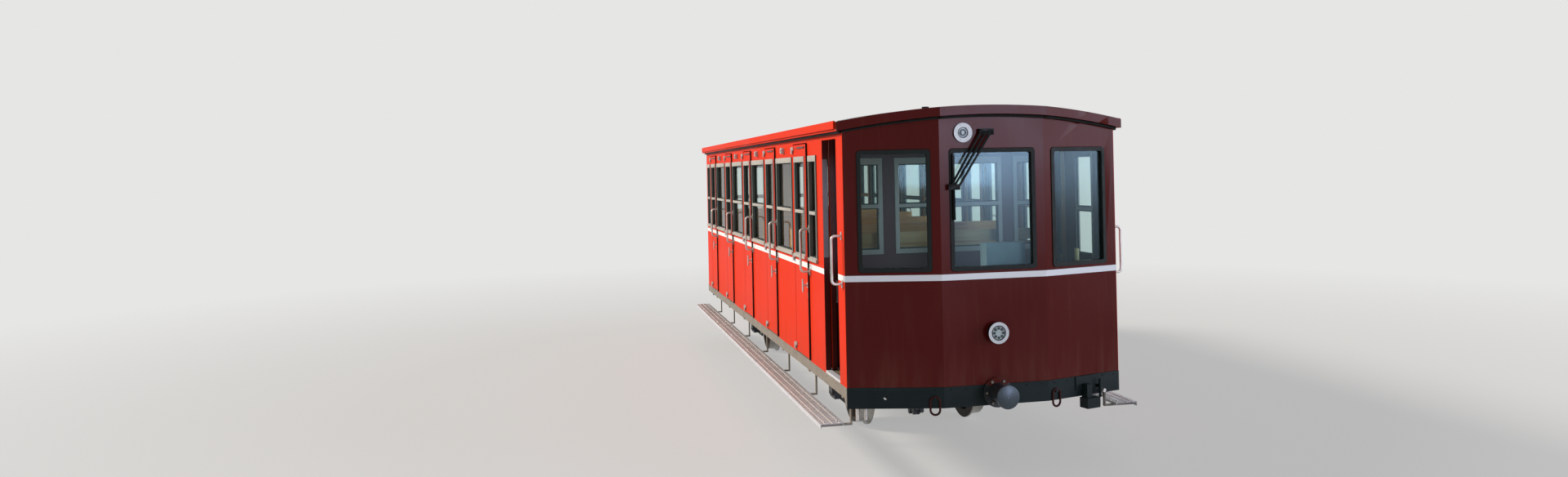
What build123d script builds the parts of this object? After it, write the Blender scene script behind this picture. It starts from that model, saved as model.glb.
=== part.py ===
from build123d import *
from math import atan2, cos, degrees, hypot, pi, radians, sin, sqrt
import os

# The leading coach of a rack railway train: a compartment coach on two axles, pushed uphill.
# X runs across the coach, Y towards its rear end, Z up from the tips of the wheel flanges.
# Right and left are those of someone who stands inside and faces the nose: right is -X.

# Driving dimensions, in millimetres
flange_depth = 28
rail_top = flange_depth

# Levels
board_top = rail_top + 405
skirt_bottom = rail_top + 521
sole_bottom = rail_top + 590
body_bottom = rail_top + 674
floor_top = rail_top + 690
latch_z = rail_top + 1310
rail_low = rail_top + 1434
rail_high = rail_top + 1792
window_bottom = rail_top + 1528
middle_rail_z = rail_top + 1930
window_top = rail_top + 2407
nose_window_bottom = rail_top + 1519
nose_window_top = rail_top + 2421
vent_z = rail_top + 2472
louvre_z = rail_top + 2484
door_top = rail_top + 2520
roof_edge_top = rail_top + 2637
roof_crown_top = rail_top + 2742
hinge_levels = (rail_top + 745, rail_top + 1530, rail_top + 2480)

# Body shell
body_width = 2200
wall = 45
nose_depth = 189
nose_face_width = 828
platform_length = 726
compartment_count = 5
compartment_pitch = 1325
seat_gap = 0.3
running_clearance = 5

# Roof
roof_thickness = 45
roof_overhang = 15
band_width = 35
band_height = 68
gutter_width = 15
gutter_height = 60
gutter_rise = 8
cap_x = -336
cap_behind_corner = 300
cap_radius = 28
cap_height = 30

# Side doors
door_width = 522
door_gap = 10
door_thickness = 38
door_window_margin = 64
door_window_shift = 20
louvre_length = 280
louvre_height = 12
louvre_proud = 8
louvre_shift = -25
vent_radius = 30
vent_proud = 14

# Sliding doors of the platform, their pockets and tracks
platform_doorway_start = 184.5
platform_doorway_width = 427
leaf_width = 470
leaf_thickness = 36
leaf_wall_gap = 10
leaf_floor_gap = 6
leaf_above_doorway = 8
leaf_behind_post = 25
leaf_travel = 440
leaf_window_width = 300
leaf_window_shift = -66
leaf_handle_inset = 44
leaf_handle_length = 160
leaf_handle_reach = 24
leaf_handle_width = 16
pocket_width = 60
pocket_lining = 12
pocket_end_gap = 14
track_width = 15
track_height = 26
track_above_doorway = 14
roller_radius = 13
roller_width = 15
hanger_plate = 8
hanger_plate_width = 40
hanger_plate_inset = 90
threshold_rise = 4
guide_width = 5
guide_height = 20

# Windows
frame_stile = 34
frame_head = 50
frame_foot = 38
frame_proud = 9
leaf_stile = 24
middle_rail_height = 30
window_sill_height = 28
window_sill_proud = 22
window_sill_overhang = 8
glass_thickness = 6
wide_window = 697
narrow_window = 276
narrow_window_offset = 208
nose_window_width = 680
facet_window_width = 541
facet_window_start = 103
nose_seal_width = 30
nose_seal_proud = 7
nose_corner_radius = 28
rear_window_width = 620
rear_window_centre = 520

# Hinges, latches and grab rails
hinge_axis_out = 14
pin_radius = 4
pin_clearance = 0.3
knuckle_radius = 9
knuckle_height = 30
strap_length = 40
bracket_length = 30
latch_inset = 45
latch_rose_radius = 24
latch_rose_thickness = 8
latch_stem_radius = 9
latch_reach = 46
latch_bar_radius = 8
latch_bar_length = 110
rail_radius = 10
rail_stand_off = 80
rail_foot_width = 26
rail_foot_height = 60
rail_foot_thickness = 6
rail_from_seam = 27
corner_rail_offset = 65

# Bulkhead behind the platform
bulkhead_thickness = 40
bulkhead_window_bottom = rail_top + 1590
bulkhead_window_top = rail_top + 2372
bulkhead_middle_rail = rail_top + 1980
bulkhead_middle_window = 936
bulkhead_side_window = 370
bulkhead_post = 105

# Benches
seat_height = 430
seat_depth = 430
seat_slats = 5
back_slats = 6
slat_thickness = 20
slat_gap = 12
back_height = 1050
bench_end_gap = 10
bench_support = 40
support_setback = 60

# Driver's desk
desk_width = 780
desk_depth = 260
desk_height = 800
desk_fall = 60
desk_lip = 80
desk_foot_depth = 170
console_x = 141
console_width = 311
console_depth = 120
console_behind_wall = 60
console_top = rail_top + 1709
lever_x = 770
lever_y = 4
lever_radius = 12
lever_base_radius = 40
lever_base_height = 12
grip_radius = 17
grip_bottom = rail_top + 1535
grip_top = rail_top + 1637

# Sole bars, skirt and underframe
sole_proud = 4
sole_depth = 60
sole_web = 8
gusset_length = 65
skirt_thickness = 12
skirt_hole_x = 828
skirt_hole_z = rail_top + 598
skirt_hole_radius = 14
main_beam_x = 705
main_beam_width = 80
main_beam_height = 140
beam_flange = 14
beam_web = 20
cross_height = 60
cross_width = 60
end_cross_inset = 60

# Buffers and towing hoops
buffer_reach = 210
buffer_z = rail_top + 615
buffer_flange_radius = 112
buffer_flange = 16
buffer_sleeve_radius = 72
buffer_sleeve_taper = 12
buffer_sleeve = 120
buffer_bolts = 6
buffer_bolt_ring = 91
buffer_bolt_radius = 11
buffer_bolt_height = 9
plunger_radius = 40
head_radius = 86
head_thickness = 32
head_crown = 12
hoop_x = 480
hoop_z = rail_top + 540
hoop_width = 70
hoop_height = 130
hoop_rod = 6
lug_radius = 8
lug_head_radius = 13
lug_head = 5

# Couplings at the nose end: the jumper box and the air pipe on the left, two pipe ends on the right
jumper_blocks = (
    # across from, across to, bottom, top, reach ahead of the skirt
    (668, 850, rail_top + 572, rail_top + 672, 8),
    (728, 774, rail_top + 514, rail_top + 616, 60),
    (708, 830, rail_top + 438, rail_top + 514, 85),
)
air_pipe_x = 881
air_pipe_reach = 32
air_pipe_radius = 11
air_pipe_top = rail_top + 639
air_cock_radius = 18
air_cock_bottom = rail_top + 440
air_cock_top = rail_top + 503
air_clamp = 22
air_clamp_z = rail_top + 585
fitting_x = 925
fitting_z = rail_top + 545
fitting_radius = 14
fitting_reach = 34
pipe_end_xs = (-1010, -945)
pipe_end_behind_corner = 50
pipe_end_radius = 12
pipe_end_bottom = rail_top + 419

# Running boards
board_inner = 1110
board_outer = 1290
board_plate = 6
board_lip = 32
board_inner_lip = 18
board_end_gap = 60
hanger_x = 1040
hanger_pitch = 1080
hanger_first = 120
hanger_width = 30
hanger_thickness = 12
hanger_foot = 50
arm_end_gap = 10

# Lamps on the middle panel of the nose
lamp_rim_thickness = 12
lamp_recess = 8
lens_thickness = 4
bead_radius = 11
bead_height = 3
lamps = (
    # across, height, rim radius, body radius, reach, lens radius, beads, radius of the ring of beads
    (0, rail_top + 1058, 80, 70, 55, 52, 8, 35),
    (-230, rail_top + 2539, 72, 72, 14, 38, 1, 0),
)

# Wiper
wiper_pivot_x = -53
wiper_pivot_z = rail_top + 2543
wiper_elbow_x = -315
wiper_elbow_z = rail_top + 2140
wiper_reach = 26
wiper_rod_radius = 5
wiper_rods = (
    # sideways place at the spindle, at the elbow
    (-44, -26),
    (0, 0),
    (37, 37),
)
spindle_box = (108, 30, 40)
elbow_box = (86, 14, 36)
blade_width = 12
blade_low = rail_top + 1900
blade_high = rail_top + 2380

# Running gear
gauge = 1000
wheelbase = 4000
wheel_radius = 300
wheel_width = 125
wheel_rim = 45
wheel_hub_radius = 95
wheel_web_inset = 35
wheel_web = 25
flange_thickness = 16
tread_rise = 2
tread_fall = 4
back_to_back = 930
axle_radius = 55
hub_inset = 20
hub_boss = 5
journal_radius = 38
journal_reach = 60
box_reach = 10
box_length = 150
box_height = 150
box_depth = 110
box_cover = 3
cover_radius = 58
cover_thickness = 18
box_flange = 10
box_flange_length = 190
box_flange_height = 110
guard_thickness = 12
guard_half_top = 260
guard_foot = 50
guard_tie = 38
box_clearance = 2
spring_leaves = 7
leaf_step = 0.12
spring_leaf = 10
spring_width = 60
spring_span = 760
spring_rise = 60
spring_eye = 13
buckle_length = 90
buckle_wall = 8
cheek = 10
cheek_length = 44
cheek_below_eye = 8

# Rack gear: the brake pinion on the front axle and its band brakes
rack_pitch = 120
pinion_teeth = 13
pinion_ring_width = 32
pinion_ring_spacing = 45
tooth_above = 26
tooth_below = 30
tooth_bite = 6
tooth_root_width = 78
tooth_tip_width = 34
drum_radius = 170
drum_width = 70
pinion_holes = 6
pinion_hole_radius = 30
pinion_hole_ring = 115
band_thickness = 8
band_face = 50
band_lug = 40

# Places worked out from the driving dimensions
half_width = body_width / 2
half_face = nose_face_width / 2
facet_width = half_width - half_face
facet_length = hypot(facet_width, nose_depth)
facet_angle = degrees(atan2(nose_depth, facet_width))
body_length = platform_length + compartment_count * compartment_pitch + wall
overall_length = buffer_reach + nose_depth + body_length + buffer_reach
nose_y = -overall_length / 2 + buffer_reach
corner_y = nose_y + nose_depth
rear_y = corner_y + body_length
bay_starts = [corner_y + platform_length + bay * compartment_pitch for bay in range(compartment_count)]
last_bay_end = bay_starts[-1] + compartment_pitch
door_centres = [start + compartment_pitch / 2 for start in bay_starts]
half_opening = door_width / 2 + door_gap
doorway_front = corner_y + platform_doorway_start
doorway_rear = doorway_front + platform_doorway_width
window_z = (window_bottom + window_top) / 2
window_height = window_top - window_bottom
axle_z = rail_top + wheel_radius
axle_centre_y = (corner_y + rear_y) / 2
axle_ys = (axle_centre_y - wheelbase / 2, axle_centre_y + wheelbase / 2)
sides = {"right": -1, "left": 1}
inner_half = half_width - wall
sole_inner = half_width + sole_proud - sole_depth

# The roof is part of a cylinder that lies along the coach
roof_edge = half_width + roof_overhang + band_width
roof_rise = roof_crown_top - roof_edge_top
roof_radius = (roof_edge**2 + roof_rise**2) / (2 * roof_rise)
roof_axis_z = roof_crown_top - roof_radius
wall_top = roof_crown_top - roof_thickness / 2


def body_plan(grow):
    """The outline of the body seen from above, moved outward by grow."""
    with BuildSketch() as plan:
        with BuildLine():
            Polyline(
                (-half_width, rear_y),
                (-half_width, corner_y),
                (-half_face, nose_y),
                (half_face, nose_y),
                (half_width, corner_y),
                (half_width, rear_y),
                close=True,
            )
        make_face()
        if grow:
            offset(amount=grow, kind=Kind.INTERSECTION)
    return plan.sketch


def nose_ring(thickness):
    """The body's outline ahead of its corners, as a strip of the given thickness."""
    with BuildSketch() as ring:
        add(body_plan(0))
        add(body_plan(-thickness), mode=Mode.SUBTRACT)
        with Locations((0, corner_y + overall_length / 2)):
            Rectangle(2 * body_width, overall_length, mode=Mode.SUBTRACT)
    return ring.sketch


def roof_arc_z(x, depth):
    """The height of the roof's curve at x, depth below its top face."""
    return roof_axis_z + sqrt((roof_radius - depth) ** 2 - x**2)


def arch_slab(depth_top, depth_bottom):
    """The space between two depths under the roof's top face, longer and wider than the coach."""
    reach = roof_edge + wall
    with BuildPart() as slab:
        with BuildSketch(Plane.XZ.offset(overall_length)):
            with BuildLine():
                ThreePointArc(
                    (-reach, roof_arc_z(reach, depth_top)),
                    (0, roof_arc_z(0, depth_top)),
                    (reach, roof_arc_z(reach, depth_top)),
                )
                Line((reach, roof_arc_z(reach, depth_top)), (reach, roof_arc_z(reach, depth_bottom)))
                ThreePointArc(
                    (reach, roof_arc_z(reach, depth_bottom)),
                    (0, roof_arc_z(0, depth_bottom)),
                    (-reach, roof_arc_z(reach, depth_bottom)),
                )
                Line((-reach, roof_arc_z(reach, depth_bottom)), (-reach, roof_arc_z(reach, depth_top)))
            make_face()
        extrude(amount=-2 * overall_length)
    return slab.part


# On each of the planes below, the second coordinate is the height in the coach's own frame


def side_plane(side, y, out):
    """A plane along the coach's side at y, facing outward, out from the wall's outside."""
    return Plane(origin=(side * (half_width + out), y, 0), x_dir=(0, side, 0), z_dir=(side, 0, 0))


def end_plane(y, facing):
    """A plane across the coach at y; facing is -1 towards the nose and 1 towards the rear end."""
    return Plane(origin=(0, y, 0), x_dir=(-facing, 0, 0), z_dir=(0, facing, 0))


def facet_plane(side, from_corner):
    """A plane on a slanted panel of the nose, at a distance along it from the body's corner."""
    turn = radians(side * facet_angle)
    along = Vector(cos(turn), sin(turn), 0)
    origin = Vector(side * half_width, corner_y, 0) - along * (side * from_corner)
    return Plane(origin=origin, x_dir=along, z_dir=(sin(turn), -cos(turn), 0))


def from_corner_at(x):
    """How far along a slanted panel a place x from the middle lies from the body's corner."""
    return (half_width - x) * facet_length / facet_width


above_walls = arch_slab(-2 * roof_rise, roof_thickness + seat_gap)
nose_face = end_plane(nose_y, -1)
pieces = []


def keep(part, label):
    """Names a finished piece and puts it on the list of files to write."""
    part.label = label
    pieces.append(part)


# Roof: an arched skin with a faceted band all round its edge and a gutter along each side
roof_low = roof_edge_top - 2 * band_height
roof_high = roof_crown_top + band_height

with BuildPart() as roof:
    with BuildSketch(Plane.XY.offset(roof_low)):
        add(body_plan(roof_overhang))
    extrude(amount=roof_high - roof_low)
    add(arch_slab(0, roof_thickness), mode=Mode.INTERSECT)
    with BuildSketch(Plane.XY.offset(roof_arc_z(cap_x, roof_thickness / 2))):
        with Locations((cap_x, corner_y + cap_behind_corner)):
            Circle(cap_radius)
    extrude(amount=roof_thickness / 2 + cap_height)
keep(roof.part, "roof")

with BuildPart() as roof_band:
    with BuildSketch(Plane.XY.offset(roof_low)):
        add(body_plan(roof_overhang + band_width))
        add(body_plan(roof_overhang), mode=Mode.SUBTRACT)
    extrude(amount=roof_high - roof_low)
    add(arch_slab(0, band_height), mode=Mode.INTERSECT)
    for side in sides.values():
        with BuildSketch(Plane.XZ.offset(-corner_y)):
            with Locations((side * (roof_edge + gutter_width / 2), roof_edge_top + gutter_rise - gutter_height / 2)):
                Rectangle(gutter_width, gutter_height)
        extrude(amount=-body_length)
keep(roof_band.part, "roof_band")

# Nose: three flat panels, a window with a rubber seal in each
nose_window_z = (nose_window_bottom + nose_window_top) / 2
nose_window_height = nose_window_top - nose_window_bottom
nose_windows = [(nose_face, nose_window_width)]
for side in sides.values():
    nose_windows.append((facet_plane(side, facet_window_start + facet_window_width / 2), facet_window_width))


def nose_window_sketch(plane, width, inset, radius):
    """The outline of a nose window, moved inward by inset."""
    with BuildSketch(plane) as outline:
        with Locations((0, nose_window_z)):
            RectangleRounded(width - 2 * inset, nose_window_height - 2 * inset, radius)
    return outline.sketch


with BuildPart() as nose_wall:
    with BuildSketch(Plane.XY.offset(body_bottom)):
        add(nose_ring(wall))
    extrude(amount=wall_top - body_bottom)
    for plane, width in nose_windows:
        opening = nose_window_sketch(plane.offset(wall), width, 0, nose_corner_radius)
        extrude(opening, amount=-3 * wall, mode=Mode.SUBTRACT)
    add(above_walls, mode=Mode.SUBTRACT)
keep(nose_wall.part, "nose_wall")

with BuildPart() as nose_seals:
    for plane, width in nose_windows:
        face = plane.offset(nose_seal_proud)
        extrude(nose_window_sketch(face, width, seat_gap, nose_corner_radius), amount=-(nose_seal_proud + wall))
        inside = nose_window_sketch(face, width, nose_seal_width, nose_corner_radius / 2)
        extrude(inside, amount=-(nose_seal_proud + wall), mode=Mode.SUBTRACT)
keep(nose_seals.part, "nose_window_seals")

with BuildPart() as nose_glass:
    for plane, width in nose_windows:
        pane = nose_window_sketch(plane.offset(-wall / 3), width, nose_seal_width + seat_gap, nose_corner_radius / 2)
        extrude(pane, amount=-glass_thickness)
keep(nose_glass.part, "nose_glass")


# Windows with a framed ring and a middle rail
def window_ring(plane, width, depth, low, high, rail, stile):
    """A window's ring and middle rail, from the plane inward."""
    with BuildPart() as ring:
        with BuildSketch(plane):
            with Locations((0, (low + high) / 2)):
                Rectangle(width, high - low)
            with Locations((0, (low + frame_foot + high - frame_head) / 2)):
                Rectangle(width - 2 * stile, high - low - frame_foot - frame_head, mode=Mode.SUBTRACT)
            with Locations((0, rail)):
                Rectangle(width, middle_rail_height)
        extrude(amount=-depth)
    return ring.part


def window_frame(plane, width, depth):
    """The frame of an outside window: its ring, proud of the panel, and its sill."""
    with BuildPart() as frame:
        add(
            window_ring(
                plane.offset(frame_proud), width, frame_proud + depth, window_bottom, window_top, middle_rail_z, frame_stile
            )
        )
        with BuildSketch(plane):
            with Locations((0, window_bottom + window_sill_height / 2)):
                Rectangle(width + 2 * window_sill_overhang, window_sill_height)
        extrude(amount=window_sill_proud)
    return frame.part


def window_panes(plane, width, low, high, rail, stile):
    """A window's two panes, below and above its middle rail."""
    panes = ((low + frame_foot, rail - middle_rail_height / 2), (rail + middle_rail_height / 2, high - frame_head))
    with BuildPart() as glass:
        with BuildSketch(plane):
            for bottom, top in panes:
                with Locations((0, (bottom + top) / 2)):
                    Rectangle(width - 2 * stile, top - bottom)
        extrude(amount=-glass_thickness)
    return glass.part


# Side walls: panels between the doorways, and the rail over them that carries the platform door's track
first_window = bay_starts[0] + narrow_window_offset
last_window = last_bay_end - narrow_window_offset
wall_panels = [
    # front edge, rear edge, middle of its window, window width, whether a door hangs on its front edge
    (corner_y, doorway_front, None, 0, False),
    (doorway_rear, door_centres[0] - half_opening, first_window, narrow_window, False),
]
for start in bay_starts[1:]:
    half_panel = compartment_pitch / 2 - half_opening
    wall_panels.append((start - half_panel, start + half_panel, start, wide_window, True))
wall_panels.append((door_centres[-1] + half_opening, rear_y - wall, last_window, narrow_window, True))


def hinge_bracket(side, axis_y, level):
    """The wall's half of one hinge, below the door's knuckle, with the pin that stands in it."""
    axis_x = side * (half_width + hinge_axis_out)
    bracket_z = level - knuckle_height - seat_gap
    with BuildPart() as bracket:
        with Locations((axis_x, axis_y, bracket_z)):
            Cylinder(knuckle_radius, knuckle_height)
        with Locations((side * (half_width + hinge_axis_out / 2), axis_y + bracket_length / 2, bracket_z)):
            Box(hinge_axis_out, bracket_length, knuckle_height)
        with Locations((axis_x, axis_y, level)):
            Cylinder(pin_radius, knuckle_height + 2 * seat_gap)
    return bracket.part


def wall_panel(side, front, rear, window_y, window_width, hinged):
    """One panel of a side wall."""
    with BuildPart() as panel:
        with BuildSketch(side_plane(side, 0, 0)):
            with Locations((side * (front + rear) / 2, (body_bottom + door_top) / 2)):
                Rectangle(rear - front, door_top - body_bottom)
            if window_width:
                with Locations((side * window_y, window_z)):
                    Rectangle(window_width, window_height, mode=Mode.SUBTRACT)
        extrude(amount=-wall)
        if window_width == wide_window:
            with BuildSketch(side_plane(side, window_y, 0)):
                with Locations((0, vent_z)):
                    Circle(vent_radius)
            extrude(amount=vent_proud)
        if hinged:
            for level in hinge_levels:
                add(hinge_bracket(side, front - door_gap / 2, level))
    return panel.part


def cantrail(side):
    """The part of a side wall over its doors, up to the roof."""
    with BuildPart() as rail:
        with BuildSketch(side_plane(side, 0, 0)):
            with Locations((side * (corner_y + rear_y - wall) / 2, (door_top + wall_top) / 2)):
                Rectangle(body_length - wall, wall_top - door_top)
        extrude(amount=-wall)
        add(above_walls, mode=Mode.SUBTRACT)
    return rail.part


closed_leaf_y = doorway_front - leaf_behind_post + leaf_width / 2
open_leaf_y = closed_leaf_y + leaf_travel
pocket_rear = open_leaf_y + leaf_width / 2 + pocket_end_gap
track_bottom = door_top + track_above_doorway
track_front = closed_leaf_y - leaf_width / 2

for name, side in sides.items():
    solids = [wall_panel(side, *panel) for panel in wall_panels]
    solids.append(cantrail(side))
    track_middle = (side * (inner_half - track_width / 2), (track_front + pocket_rear) / 2, track_bottom + track_height / 2)
    solids.append(Pos(*track_middle) * Box(track_width, pocket_rear - track_front, track_height))
    keep(Compound(children=solids), f"{name}_side_wall")

# Rear wall: a flat panel with two windows
with BuildPart() as rear_wall:
    with BuildSketch(end_plane(rear_y, 1)):
        with Locations((0, (body_bottom + wall_top) / 2)):
            Rectangle(body_width, wall_top - body_bottom)
        with Locations((-rear_window_centre, window_z), (rear_window_centre, window_z)):
            Rectangle(rear_window_width, window_height, mode=Mode.SUBTRACT)
    extrude(amount=-wall)
    add(above_walls, mode=Mode.SUBTRACT)
keep(rear_wall.part, "rear_wall")

# Bulkhead between the platform and the first compartment, with the linings of the door pockets
bulkhead_y = bay_starts[0]
bulkhead_front = end_plane(bulkhead_y - bulkhead_thickness / 2, -1)
bulkhead_half = inner_half - pocket_width
bulkhead_window_z = (bulkhead_window_bottom + bulkhead_window_top) / 2
bulkhead_windows = [(0, bulkhead_middle_window)]
for side in sides.values():
    side_window_x = bulkhead_middle_window / 2 + bulkhead_post + bulkhead_side_window / 2
    bulkhead_windows.append((side * side_window_x, bulkhead_side_window))
lining_front = bulkhead_y + bulkhead_thickness / 2

with BuildPart() as bulkhead:
    with BuildSketch(bulkhead_front):
        with Locations((0, (floor_top + wall_top) / 2)):
            Rectangle(2 * bulkhead_half, wall_top - floor_top)
        for x, width in bulkhead_windows:
            with Locations((x, bulkhead_window_z)):
                Rectangle(width, bulkhead_window_top - bulkhead_window_bottom, mode=Mode.SUBTRACT)
    extrude(amount=-bulkhead_thickness)
    for side in sides.values():
        with BuildSketch(side_plane(side, 0, bulkhead_half - half_width)):
            with Locations((side * (lining_front + pocket_rear) / 2, (floor_top + wall_top) / 2)):
                Rectangle(pocket_rear - lining_front, wall_top - floor_top)
            with Locations((side * first_window, window_z)):
                Rectangle(narrow_window, window_height, mode=Mode.SUBTRACT)
        extrude(amount=-pocket_lining)
        closer_x = side * (bulkhead_half - pocket_lining + inner_half) / 2
        with Locations((closer_x, pocket_rear + pocket_lining / 2, (floor_top + wall_top) / 2)):
            Box(pocket_width + pocket_lining, pocket_lining, wall_top - floor_top)
    add(above_walls, mode=Mode.SUBTRACT)
keep(bulkhead.part, "platform_bulkhead")

# Frames and panes of all windows that don't open
outside_windows = []
for side in sides.values():
    for front, rear, window_y, window_width, hinged in wall_panels:
        if window_width:
            outside_windows.append((side_plane(side, window_y, 0), window_width))
for x in (-rear_window_centre, rear_window_centre):
    rear_plane = Plane(origin=(x, rear_y, 0), x_dir=(-1, 0, 0), z_dir=(0, 1, 0))
    outside_windows.append((rear_plane, rear_window_width))
inside_windows = []
for x, width in bulkhead_windows:
    inside_plane = Plane(origin=(x, bulkhead_y - bulkhead_thickness / 2, 0), x_dir=(1, 0, 0), z_dir=(0, -1, 0))
    inside_windows.append((inside_plane, width))
bulkhead_levels = (bulkhead_window_bottom, bulkhead_window_top, bulkhead_middle_rail)
outside_levels = (window_bottom, window_top, middle_rail_z)

with BuildPart() as window_frames:
    for plane, width in outside_windows:
        add(window_frame(plane, width, wall))
    for plane, width in inside_windows:
        ring_plane = plane.offset(frame_proud)
        add(window_ring(ring_plane, width, frame_proud + bulkhead_thickness, *bulkhead_levels, frame_stile))
keep(window_frames.part, "window_frames")

with BuildPart() as window_glass:
    for plane, width in outside_windows:
        add(window_panes(plane.offset(-wall / 2), width, *outside_levels, frame_stile))
    for plane, width in inside_windows:
        add(window_panes(plane.offset(-bulkhead_thickness / 2), width, *bulkhead_levels, frame_stile))
keep(window_glass.part, "window_glass")

# Side doors: a flat leaf with a framed window, a louvre bar, three hinge knuckles and a T handle
door_low = body_bottom + door_gap
door_high = door_top - door_gap
door_window_width = door_width - 2 * door_window_margin


def door_leaf(side, centre):
    """One side door, closed."""
    outside = side_plane(side, centre, 0)
    axis_x = side * (half_width + hinge_axis_out)
    axis_y = centre + door_width / 2 + door_gap / 2
    latch_y = -door_width / 2 + latch_inset
    with BuildPart() as leaf:
        with BuildSketch(outside):
            with Locations((0, (door_low + door_high) / 2)):
                Rectangle(door_width, door_high - door_low)
            with Locations((side * door_window_shift, window_z)):
                Rectangle(door_window_width, window_height, mode=Mode.SUBTRACT)
        extrude(amount=-door_thickness)
        add(window_frame(side_plane(side, centre + door_window_shift, 0), door_window_width, door_thickness))
        with BuildSketch(outside):
            with Locations((side * louvre_shift, louvre_z)):
                Rectangle(louvre_length, louvre_height)
        extrude(amount=louvre_proud)
        for level in hinge_levels:
            with Locations((axis_x, axis_y, level)):
                Cylinder(knuckle_radius, knuckle_height)
            with Locations((side * (half_width + hinge_axis_out / 2), axis_y - strap_length / 2, level)):
                Box(hinge_axis_out, strap_length, knuckle_height)
            with Locations((axis_x, axis_y, level)):
                Cylinder(pin_radius + pin_clearance, knuckle_height + 2 * seat_gap, mode=Mode.SUBTRACT)
        for radius, reach in ((latch_rose_radius, latch_rose_thickness), (latch_stem_radius, latch_reach)):
            with BuildSketch(outside):
                with Locations((side * latch_y, latch_z)):
                    Circle(radius)
            extrude(amount=reach)
        with Locations((side * (half_width + latch_reach), centre + latch_y, latch_z)):
            Cylinder(latch_bar_radius, latch_bar_length)
    return leaf.part


for name, side in sides.items():
    for number, centre in enumerate(door_centres, start=1):
        pane_plane = side_plane(side, centre + door_window_shift, -door_thickness / 2)
        panes = window_panes(pane_plane, door_window_width, *outside_levels, frame_stile)
        keep(door_leaf(side, centre), f"door_{name}_{number}")
        keep(panes, f"door_{name}_{number}_glass")

# Platform doors: sliding leaves that hang on two rollers each; the right one stands open in its pocket
leaf_out = -(wall + leaf_wall_gap)
leaf_low = floor_top + leaf_floor_gap
leaf_high = door_top + leaf_above_doorway
roller_z = track_bottom + track_height + seat_gap + roller_radius
plate_top = roller_z + roller_radius
plate_out = leaf_out + half_width - roller_width / 2 - hanger_plate / 2


def sliding_leaf(side, centre):
    """One sliding door of the platform."""
    outside = side_plane(side, centre, leaf_out)
    window_plane = side_plane(side, centre + leaf_window_shift, leaf_out)
    handle_x = side * (half_width + leaf_out - leaf_thickness - leaf_handle_reach)
    handle_y = -leaf_width / 2 + leaf_handle_inset
    with BuildPart() as leaf:
        with BuildSketch(outside):
            with Locations((0, (leaf_low + leaf_high) / 2)):
                Rectangle(leaf_width, leaf_high - leaf_low)
            with Locations((side * leaf_window_shift, window_z)):
                Rectangle(leaf_window_width, window_height, mode=Mode.SUBTRACT)
        extrude(amount=-leaf_thickness)
        add(window_ring(window_plane, leaf_window_width, leaf_thickness, *outside_levels, leaf_stile))
        for along in (-leaf_width / 2 + hanger_plate_inset, leaf_width / 2 - hanger_plate_inset):
            with Locations((side * plate_out, centre + along, (leaf_high + plate_top) / 2)):
                Box(hanger_plate, hanger_plate_width, plate_top - leaf_high)
            with Locations((side * (plate_out + (hanger_plate + roller_width) / 2), centre + along, roller_z)):
                Cylinder(roller_radius, roller_width, rotation=(0, 90, 0))
        for level in (-leaf_handle_length / 2, leaf_handle_length / 2):
            with BuildSketch(outside.offset(-leaf_thickness)):
                with Locations((side * handle_y, latch_z + level)):
                    Rectangle(leaf_handle_width, leaf_handle_width)
            extrude(amount=-leaf_handle_reach)
        with Locations((handle_x + side * leaf_handle_width / 4, centre + handle_y, latch_z)):
            Box(leaf_handle_width / 2, leaf_handle_width, leaf_handle_length + leaf_handle_width)
    return leaf.part


for name, centre in (("right", open_leaf_y), ("left", closed_leaf_y)):
    pane_plane = side_plane(sides[name], centre + leaf_window_shift, leaf_out - leaf_thickness / 2)
    panes = window_panes(pane_plane, leaf_window_width, *outside_levels, leaf_stile)
    keep(sliding_leaf(sides[name], centre), f"platform_door_{name}")
    keep(panes, f"platform_door_{name}_glass")

# Thresholds of the platform doorways, and the guides at the foot of each door pocket
threshold_middle = (doorway_front + doorway_rear) / 2
guide_front = doorway_rear
guide_outs = (
    leaf_out + running_clearance + guide_width / 2,
    leaf_out - leaf_thickness - running_clearance - guide_width / 2,
)
with BuildPart() as thresholds:
    for side in sides.values():
        with Locations((side * (half_width - wall / 2), threshold_middle, (body_bottom + floor_top + threshold_rise) / 2)):
            Box(wall, platform_doorway_width, floor_top + threshold_rise - body_bottom)
        for out in guide_outs:
            with Locations((side * (half_width + out), (guide_front + pocket_rear) / 2, floor_top + guide_height / 2)):
                Box(guide_width, pocket_rear - guide_front, guide_height)
keep(thresholds.part, "platform_thresholds")

# Floor: one deck of boards inside the walls
with BuildPart() as floor_deck:
    with BuildSketch(Plane.XY.offset(body_bottom)):
        add(body_plan(-wall))
    extrude(amount=floor_top - body_bottom)
keep(floor_deck.part, "floor")

# Benches: slatted seats back to back at each bay line
slat_depth = (seat_depth - (seat_slats - 1) * slat_gap) / seat_slats
back_slat = (back_height - seat_height - (back_slats - 1) * slat_gap) / back_slats
wide_bench = inner_half - bench_end_gap
first_bench = bulkhead_half - pocket_lining - bench_end_gap


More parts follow.
